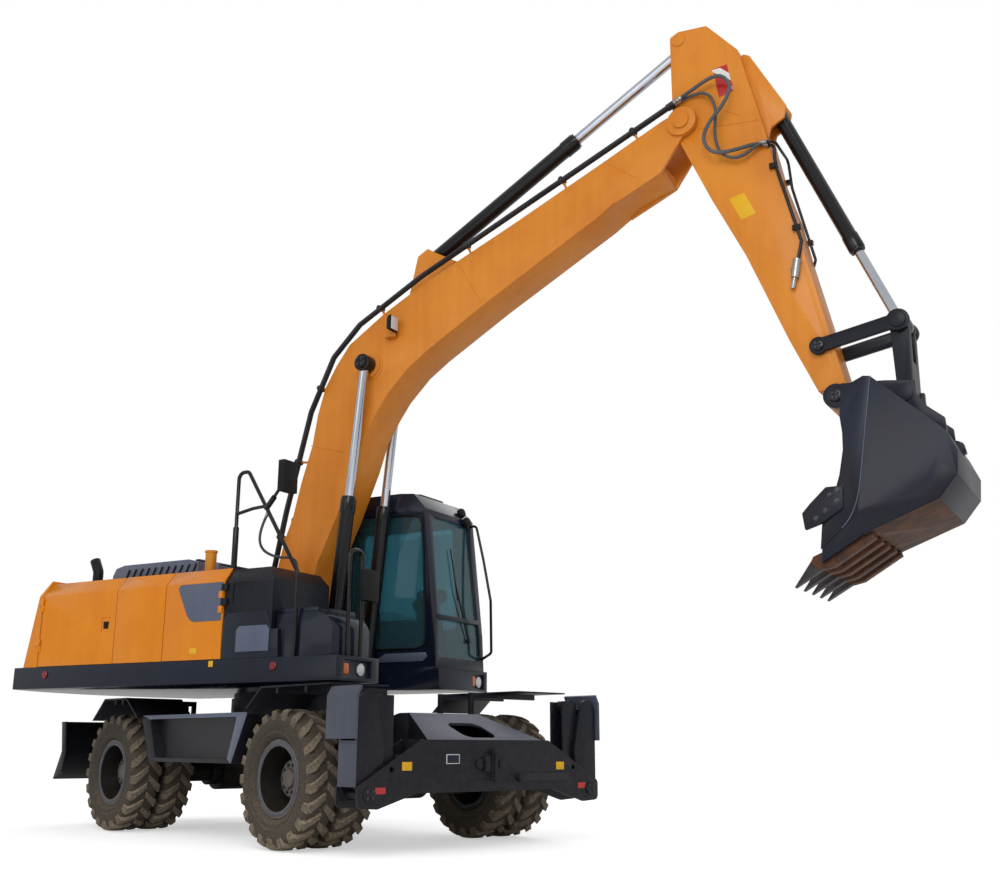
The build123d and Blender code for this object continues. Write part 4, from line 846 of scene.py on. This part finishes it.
# Trim on the engine housing.
doorPlates = {
    "slatePanel": dict(
        body="right_front_door", paint="slateBlue", slot="panel_paint", low=-1.254, high=-1.249, edge=0.002,
        outline=[(-0.37, 2.125), (-0.395, 2.09), (-0.276, 1.853), (-0.235, 1.81), (-0.188, 1.794),
                 (0.118, 1.794), (0.122, 2.125)]),
    "latchPlate": dict(
        body="right_rear_door", paint="panelOrange", slot="panel_paint", low=-1.2455, high=-1.241, edge=0.002,
        outline=corners(-1.33, 1.755, -1.21, 1.885)),
    "latchGrip": dict(
        body="right_rear_door", paint="trimPlastic", low=-1.2495, high=-1.2454, edge=0.0015,
        outline=[(-1.3, 1.785), (-1.24, 1.785), (-1.235, 1.85), (-1.305, 1.85)]),
}
addPlates(doorPlates, "Y")

louvre = {"count": 11, "from": -1.45, "pitch": 0.085, "low": -0.903, "high": -0.889, "edge": 0.0015,
          "slat": [(0, 2.29), (0.012, 2.285), (0.055, 2.375), (0.043, 2.38)]}
slats = []
for step in range(louvre["count"]):
    x = louvre["from"] + louvre["pitch"] * step
    outline = [(x + along, z) for along, z in louvre["slat"]]
    slats.append(plate(outline, louvre["low"], louvre["high"], "Y", louvre["edge"]))
settle(gather(slats), "hoodLouvres", "hood", "meshBlack", upperFrame)

rib = {"count": 6, "from": -1.36, "pitch": 0.14, "wide": 0.045, "right": -0.8, "left": 0.2,
       "low": 2.424, "high": 2.44, "edge": 0.006}
ribs = []
for step in range(rib["count"]):
    x = rib["from"] + rib["pitch"] * step
    outline = corners(x, rib["right"], x + rib["wide"], rib["left"])
    ribs.append(plate(outline, rib["low"], rib["high"], "Z", rib["edge"]))
settle(gather(ribs), "hoodRibs", "hood", "slateBlue", upperFrame)

deckCover = {
    "coverPlate": dict(
        body="upper", paint="slateBlue", slot="panel_paint", low=-1.255, high=-1.249, edge=0.003,
        outline=[(0.3, 1.52), (0.66, 1.52), (0.66, 1.7), (0.63, 1.735), (0.33, 1.735), (0.3, 1.7)]),
}
addPlates(deckCover, "Y")

sideReflector = {"profile": [(0, 0), (0.034, 0), (0.036, 0.006), (0.03, 0.012), (0, 0.014)], "steps": 24,
                 "axis": (0, -1, 0), "places": [(-2.02, -1.2495, 1.392), (0.72, -1.2495, 1.392)]}
addLamps("sideReflectors", sideReflector, "lampRed")

sideLabels = {
    "railLabel": dict(
        body="upper", paint="labelYellow", slot="panel_paint", low=-1.252, high=-1.249,
        edge=0.0005, outline=corners(0.01, 1.405, 0.06, 1.455)),
    "cleatLabel": dict(
        body="right_front_door", paint="labelYellow", slot="panel_paint", low=-1.252, high=-1.249,
        edge=0.0005, outline=corners(-0.22, 1.52, -0.14, 1.57)),
}
addPlates(sideLabels, "Y")
print("housing trim made")

# Cab: lamps, wiper, low side panel, window seals, seat.
headLamp = {"profile": [(0, 0), (0.05, 0), (0.052, 0.01), (0.03, 0.02), (0, 0.023)], "steps": 28,
            "axis": (1, 0, 0), "places": [(1.33, -0.88, 1.365), (1.268, 1.13, 1.358)]}
addLamps("headLampGlass", headLamp, "lampWhite")

turnLamp = {"places": [(1.33, -1.09), (1.268, 1.02)], "half": 0.035, "low": 1.32, "high": 1.41, "deep": 0.018,
            "edge": 0.008}
amber = []
for x, y in turnLamp["places"]:
    outline = corners(y - turnLamp["half"], turnLamp["low"], y + turnLamp["half"], turnLamp["high"])
    amber.append(plate(outline, x, x + turnLamp["deep"], "X", turnLamp["edge"]))
settle(gather(amber), "turnLamps", "upper", "lampAmber", upperFrame)

wiper = {
    "arm": [(1.243, 0.98, 1.74), (1.238, 0.9, 1.95), (1.196, 0.8, 2.3)], "armRadius": 0.007,
    "blade": [(1.213, 0.83, 2.12), (1.19, 0.8, 2.36), (1.158, 0.77, 2.62)], "bladeRadius": 0.006,
    "cap": [(0, 0), (0.022, 0), (0.022, 0.02), (0.012, 0.028), (0, 0.028)], "capAt": (1.236, 0.98, 1.74),
    "capAxis": (1, 0, 0.1), "capSteps": 20,
}
wiperParts = [tube(wiper["arm"], wiper["armRadius"]), tube(wiper["blade"], wiper["bladeRadius"]),
              turned(wiper["cap"], wiper["capAt"], wiper["capAxis"], wiper["capSteps"])]
settle(gather(wiperParts), "wiper", "upper", "trimPlastic", upperFrame)

cabPanels = {
    "cabLowPanel": dict(
        body="upper", paint="slateBlue", low=0.371, high=0.379, edge=0.003,
        outline=[(0.62, 1.52), (1.12, 1.52), (1.17, 1.56), (1.15, 1.6), (0.7, 1.6), (0.62, 1.56)]),
}
addPlates(cabPanels, "Y")

seal = {
    "side": 0.3745, "radius": 0.009, "sides": 3, "shares": (0.06, 0.5, 0.94),
    "outlines": [[(0.28, 1.76), (0.56, 1.64), (1.15, 1.64), (1.085, 2.9), (0.28, 2.95)],
                 [(-0.38, 2.0), (0.18, 2.0), (0.18, 2.95), (-0.38, 2.95)]],
}
seals = []
for outline in seal["outlines"]:
    ring = outline + [outline[0]]
    points = []
    for (startX, startZ), (endX, endZ) in zip(ring, ring[1:]):
        for share in seal["shares"]:
            points.append((startX + (endX - startX) * share, seal["side"], startZ + (endZ - startZ) * share))
    seals.append(tube(points + [points[0]], seal["radius"], seal["sides"]))
settle(gather(seals), "windowSeals", "upper", "trimPlastic", upperFrame)

roofLamp = {"profile": [(0, 0), (0.045, 0), (0.05, 0.03), (0.04, 0.05), (0, 0.055)], "steps": 24,
            "axis": (0.9, 0, 0.25), "places": [(1.055, 1.1, 3.031), (1.12, 1.1, 2.933)]}
addLamps("roofLamps", roofLamp, "trimPlastic")

seatPad = {"rows": [(0, 0.03), (0.12, 0.006), (0.5, 0), (0.88, 0.006), (1, 0.03)], "waist": 0.4, "levels": 3}
seats = {"seatCushion": dict(low=(-0.02, 0.54, 1.68), high=(0.55, 1.08, 1.87), crown=0.02),
         "seatBack": dict(low=(-0.13, 0.57, 1.86), high=(0.1, 1.05, 2.52), crown=0.0)}


def makeSeatPad(name, low, high, crown):  # boxed pad with pinched edges, crowned by subdivision
    (x0, y0, z0), (x1, y1, z1) = low, high
    middleX, middleZ = (x0 + x1) / 2, (z0 + z1) / 2
    sections = []
    for share, pinch in seatPad["rows"]:  # share of the width, and how far the outline draws in
        y = y0 + (y1 - y0) * share
        waist = pinch * seatPad["waist"]
        sections.append([(x0 + pinch, y, z0 + pinch), (x1 - pinch, y, z0 + pinch), (x1 - waist, y, middleZ),
                         (x1 - pinch, y, z1 - pinch), (middleX, y, z1 - pinch + crown),
                         (x0 + pinch, y, z1 - pinch), (x0 + waist, y, middleZ)])
    piece = loft(sections)
    pickOnly(piece)
    smooth = piece.modifiers.new("round", "SUBSURF")
    smooth.levels = smooth.render_levels = seatPad["levels"]
    bpy.ops.object.modifier_apply(modifier="round")
    bpy.ops.object.shade_smooth()
    settle(piece, name, "upper", "seatCloth", upperFrame)


for name, size in seats.items():
    makeSeatPad(name, size["low"], size["high"], size["crown"])
print("cab trim made")

# Boom and arm: weld seams, lamp, reflector, label, bolts.
boomWeld = {"out": 0.1952, "radius": 0.004, "seams": [
    [(0.16, 3.562), (0.355, 3.5095), (0.55, 3.457)], [(1.81, 5.12), (1.93, 4.905), (2.05, 4.69)],
    [(3.31, 5.775), (3.455, 5.6625), (3.6, 5.55)]]}
addWelds("boomWelds", boomWeld, "boom", "boomOrange")

workLamp = {
    "bracket": [(1.02, 4.5), (1.15, 4.5), (1.13, 4.58), (1.09, 4.62), (1.04, 4.58)],
    "shelf": corners(1.03, 4.5, 1.14, 4.508), "out": -0.25, "bracketIn": -0.244, "shelfIn": -0.19,
    "body": [[(1.10, -0.33, 4.56), (1.10, -0.25, 4.56), (1.10, -0.25, 4.66), (1.10, -0.33, 4.66)],
             [(1.13, -0.35, 4.54), (1.13, -0.235, 4.54), (1.13, -0.235, 4.68), (1.13, -0.35, 4.68)],
             [(1.165, -0.355, 4.535), (1.165, -0.23, 4.535), (1.165, -0.23, 4.685), (1.165, -0.355, 4.685)]],
    "glass": corners(-0.345, 4.545, -0.24, 4.675), "back": 1.164, "front": 1.172,
    "bracketEdge": 0.002, "shelfEdge": 0.001, "bodyEdge": 0.008, "glassEdge": 0.004,
}
bracket = plate(workLamp["bracket"], workLamp["out"], workLamp["bracketIn"], "Y", workLamp["bracketEdge"])
shelf = plate(workLamp["shelf"], workLamp["out"], workLamp["shelfIn"], "Y", workLamp["shelfEdge"])
settle(gather([bracket, shelf]), "lampBracket", "boom", "boomOrange", upperFrame)
settle(loft(workLamp["body"], workLamp["bodyEdge"]), "workLamp", "boom", "trimPlastic", upperFrame)
lens = plate(workLamp["glass"], workLamp["back"], workLamp["front"], "X", workLamp["glassEdge"])
settle(lens, "workLampGlass", "boom", "lampWhite", upperFrame)

armPlates = {
    "reflectorRedUpper": dict(
        body="arm", paint="reflectRed", low=-0.1625, high=-0.159, edge=0.0005,
        outline=[(4.322, 6.40), (4.46, 6.415), (4.475, 6.33), (4.40, 6.40)]),
    "reflectorWhite": dict(
        body="arm", paint="reflectWhite", low=-0.1625, high=-0.159, edge=0.0005,
        outline=[(4.322, 6.398), (4.398, 6.398), (4.476, 6.325), (4.49, 6.25), (4.34, 6.37)]),
    "reflectorRedLower": dict(
        body="arm", paint="reflectRed", low=-0.1625, high=-0.159, edge=0.0005,
        outline=[(4.342, 6.366), (4.492, 6.246), (4.515, 6.15), (4.377, 6.12)]),
    "armLabel": dict(
        body="arm", paint="labelYellow", low=-0.162, high=-0.159, edge=0.0005,
        outline=[(4.42, 5.165), (4.55, 5.19), (4.64, 4.985), (4.515, 4.95)]),
}
addPlates(armPlates, "Y")
armWeld = {"out": 0.1602, "radius": 0.0035, "seams": [
    [(4.10, 5.89), (4.40, 5.845), (4.72, 5.815)], [(4.2, 6.14), (4.4, 6.0), (4.55, 5.9)]]}
addWelds("armWelds", armWeld, "arm", "boomOrange")

pinBolt = {"count": 4, "turn": 45, "tall": 0.012}
pinBolts = {"ramEyeBolts": dict(pin=pins["boomRod"], out=0.368, ring=0.036, size=0.014, body="boom_rods"),
            "bucketPinBolts": dict(pin=pins["bucket"], out=0.225, ring=0.026, size=0.009, body="arm"),
            "rockerPinBolts": dict(pin=pins["rocker"], out=0.215, ring=0.022, size=0.009, body="arm")}
for name, bolt in pinBolts.items():
    spots = []
    for side in (-1, 1):
        centre, out = (bolt["pin"][0], side * bolt["out"], bolt["pin"][1]), (0, side, 0)
        spots += boltCircle(centre, out, ahead, bolt["ring"], pinBolt["count"], pinBolt["turn"])
    heads = repeat(boltHead(bolt["size"], pinBolt["tall"]), spots)
    settle(heads, name, bolt["body"], "boltSteel", upperFrame)
print("gear trim made")

# Bucket: cutter bolts, weld line.
cutterBolt = {"size": 0.016, "tall": 0.014, "out": 0.574,
              "spots": [(5.235, 2.53), (5.18, 2.5), (5.225, 2.45), (5.14, 2.39), (5.07, 2.34)]}
spots = []
for side in (-1, 1):
    for x, z in cutterBolt["spots"]:
        spots.append(facing((x, side * cutterBolt["out"], z), (0, side, 0)))
cutterBolts = repeat(boltHead(cutterBolt["size"], cutterBolt["tall"]), spots)
settle(cutterBolts, "cutterBolts", "bucket", "boltSteel", upperFrame)
bucketWeld = {"out": 0.5495, "radius": 0.004,
              "seams": [[(5.515, 3.345), (5.43, 2.83), (5.353, 2.36), (5.24, 2.26)]]}
addWelds("bucketWelds", bucketWeld, "bucket", "slateBlue")

# Front beam: labels, reflectors, pin bolts.
beam = {
    "low": 2.631, "high": 2.635, "edge": 0.001,
    "plates": {  # middle across and up, width, height, paint
        "beamLabelRight": (-0.795, 0.62, 0.09, 0.06, "labelYellow"),
        "beamLabelLeft": (0.779, 0.612, 0.09, 0.06, "labelYellow"),
        "beamPlate": (-0.36, 0.668, 0.13, 0.07, "labelGrey"),
        "reflectorRight": (-1.03, 0.455, 0.09, 0.045, "reflectRed"),
        "reflectorLeft": (1.03, 0.455, 0.09, 0.045, "reflectRed")},
    "field": corners(-0.418, 0.639, -0.302, 0.697),
    "fieldLow": 2.6345, "fieldHigh": 2.6358, "fieldEdge": 0.0004,
    "pinAhead": 2.646, "pinOut": 1.13, "pinHeight": 0.43,
    "boltRing": 0.032, "boltSize": 0.008, "boltTall": 0.008,
}
for name, (y, z, wide, tall, paint) in beam["plates"].items():
    outline = corners(y - wide / 2, z - tall / 2, y + wide / 2, z + tall / 2)
    settle(plate(outline, beam["low"], beam["high"], "X", beam["edge"]), name, "undercarriage", paint)
field = plate(beam["field"], beam["fieldLow"], beam["fieldHigh"], "X", beam["fieldEdge"])
settle(field, "beamPlateField", "undercarriage", "railBlue")
spots = []
for side in (-1, 1):
    centre = (beam["pinAhead"], side * beam["pinOut"], beam["pinHeight"])
    spots += boltCircle(centre, ahead, leftward, beam["boltRing"], pinBolt["count"], pinBolt["turn"])
legPinBolts = repeat(boltHead(beam["boltSize"], beam["boltTall"]), spots)
settle(legPinBolts, "legPinBolts", "undercarriage", "boltSteel")
print("front beam trim made")

# Floor, world and lamps.
studio = {
    "floor": tone(242, 242, 242), "floorSize": 120, "floorHeight": -0.002, "floorRough": 0.9,
    "floorGlow": 0.5, "world": 0.62, "aim": (0, 0, 2),
    "lamps": [((9, -9, 9), 6, 520), ((2, -12, 5), 8, 160), ((-6, 8, 9), 8, 160)],  # place, size, power
}
bpy.context.scene.view_settings.view_transform = "Standard"
clearAll()
bpy.ops.mesh.primitive_plane_add(size=studio["floorSize"], location=(0, 0, studio["floorHeight"]))
floor = bpy.context.object
floor.name = "studioFloor"
ground = bpy.data.materials.new("paleFloor")
ground.use_nodes = True
tree = ground.node_tree
shader = tree.nodes["Principled BSDF"]
shader.inputs["Base Color"].default_value = studio["floor"]
shader.inputs["Roughness"].default_value = studio["floorRough"]
shader.inputs["Emission Color"].default_value = (1, 1, 1, 1)
rays = tree.nodes.new("ShaderNodeLightPath").outputs
glow = mathNode(tree, "MULTIPLY", rays["Is Camera Ray"], studio["floorGlow"])
tree.links.new(glow, shader.inputs["Emission Strength"])
floor.data.materials.append(ground)

world = bpy.context.scene.world or bpy.data.worlds.new("studio")
bpy.context.scene.world = world
world.use_nodes = True
tree = world.node_tree
tree.nodes.clear()
sky = tree.nodes.new("ShaderNodeBackground")
sky.inputs["Color"].default_value = (1, 1, 1, 1)
rays = tree.nodes.new("ShaderNodeLightPath").outputs
straight = mathNode(tree, "MAXIMUM", rays["Is Camera Ray"], rays["Is Transmission Ray"])
tree.links.new(rangeNode(tree, straight, 0.0, 1.0, studio["world"], 1.0), sky.inputs["Strength"])
output = tree.nodes.new("ShaderNodeOutputWorld")
tree.links.new(sky.outputs[0], output.inputs["Surface"])
for place, size, power in studio["lamps"]:
    bpy.ops.object.light_add(type="AREA", location=place)
    lamp = bpy.context.object
    lamp.data.size, lamp.data.energy = size, power
    lamp.rotation_euler = (Vector(studio["aim"]) - Vector(place)).to_track_quat("-Z", "Y").to_euler()
print("studio set")
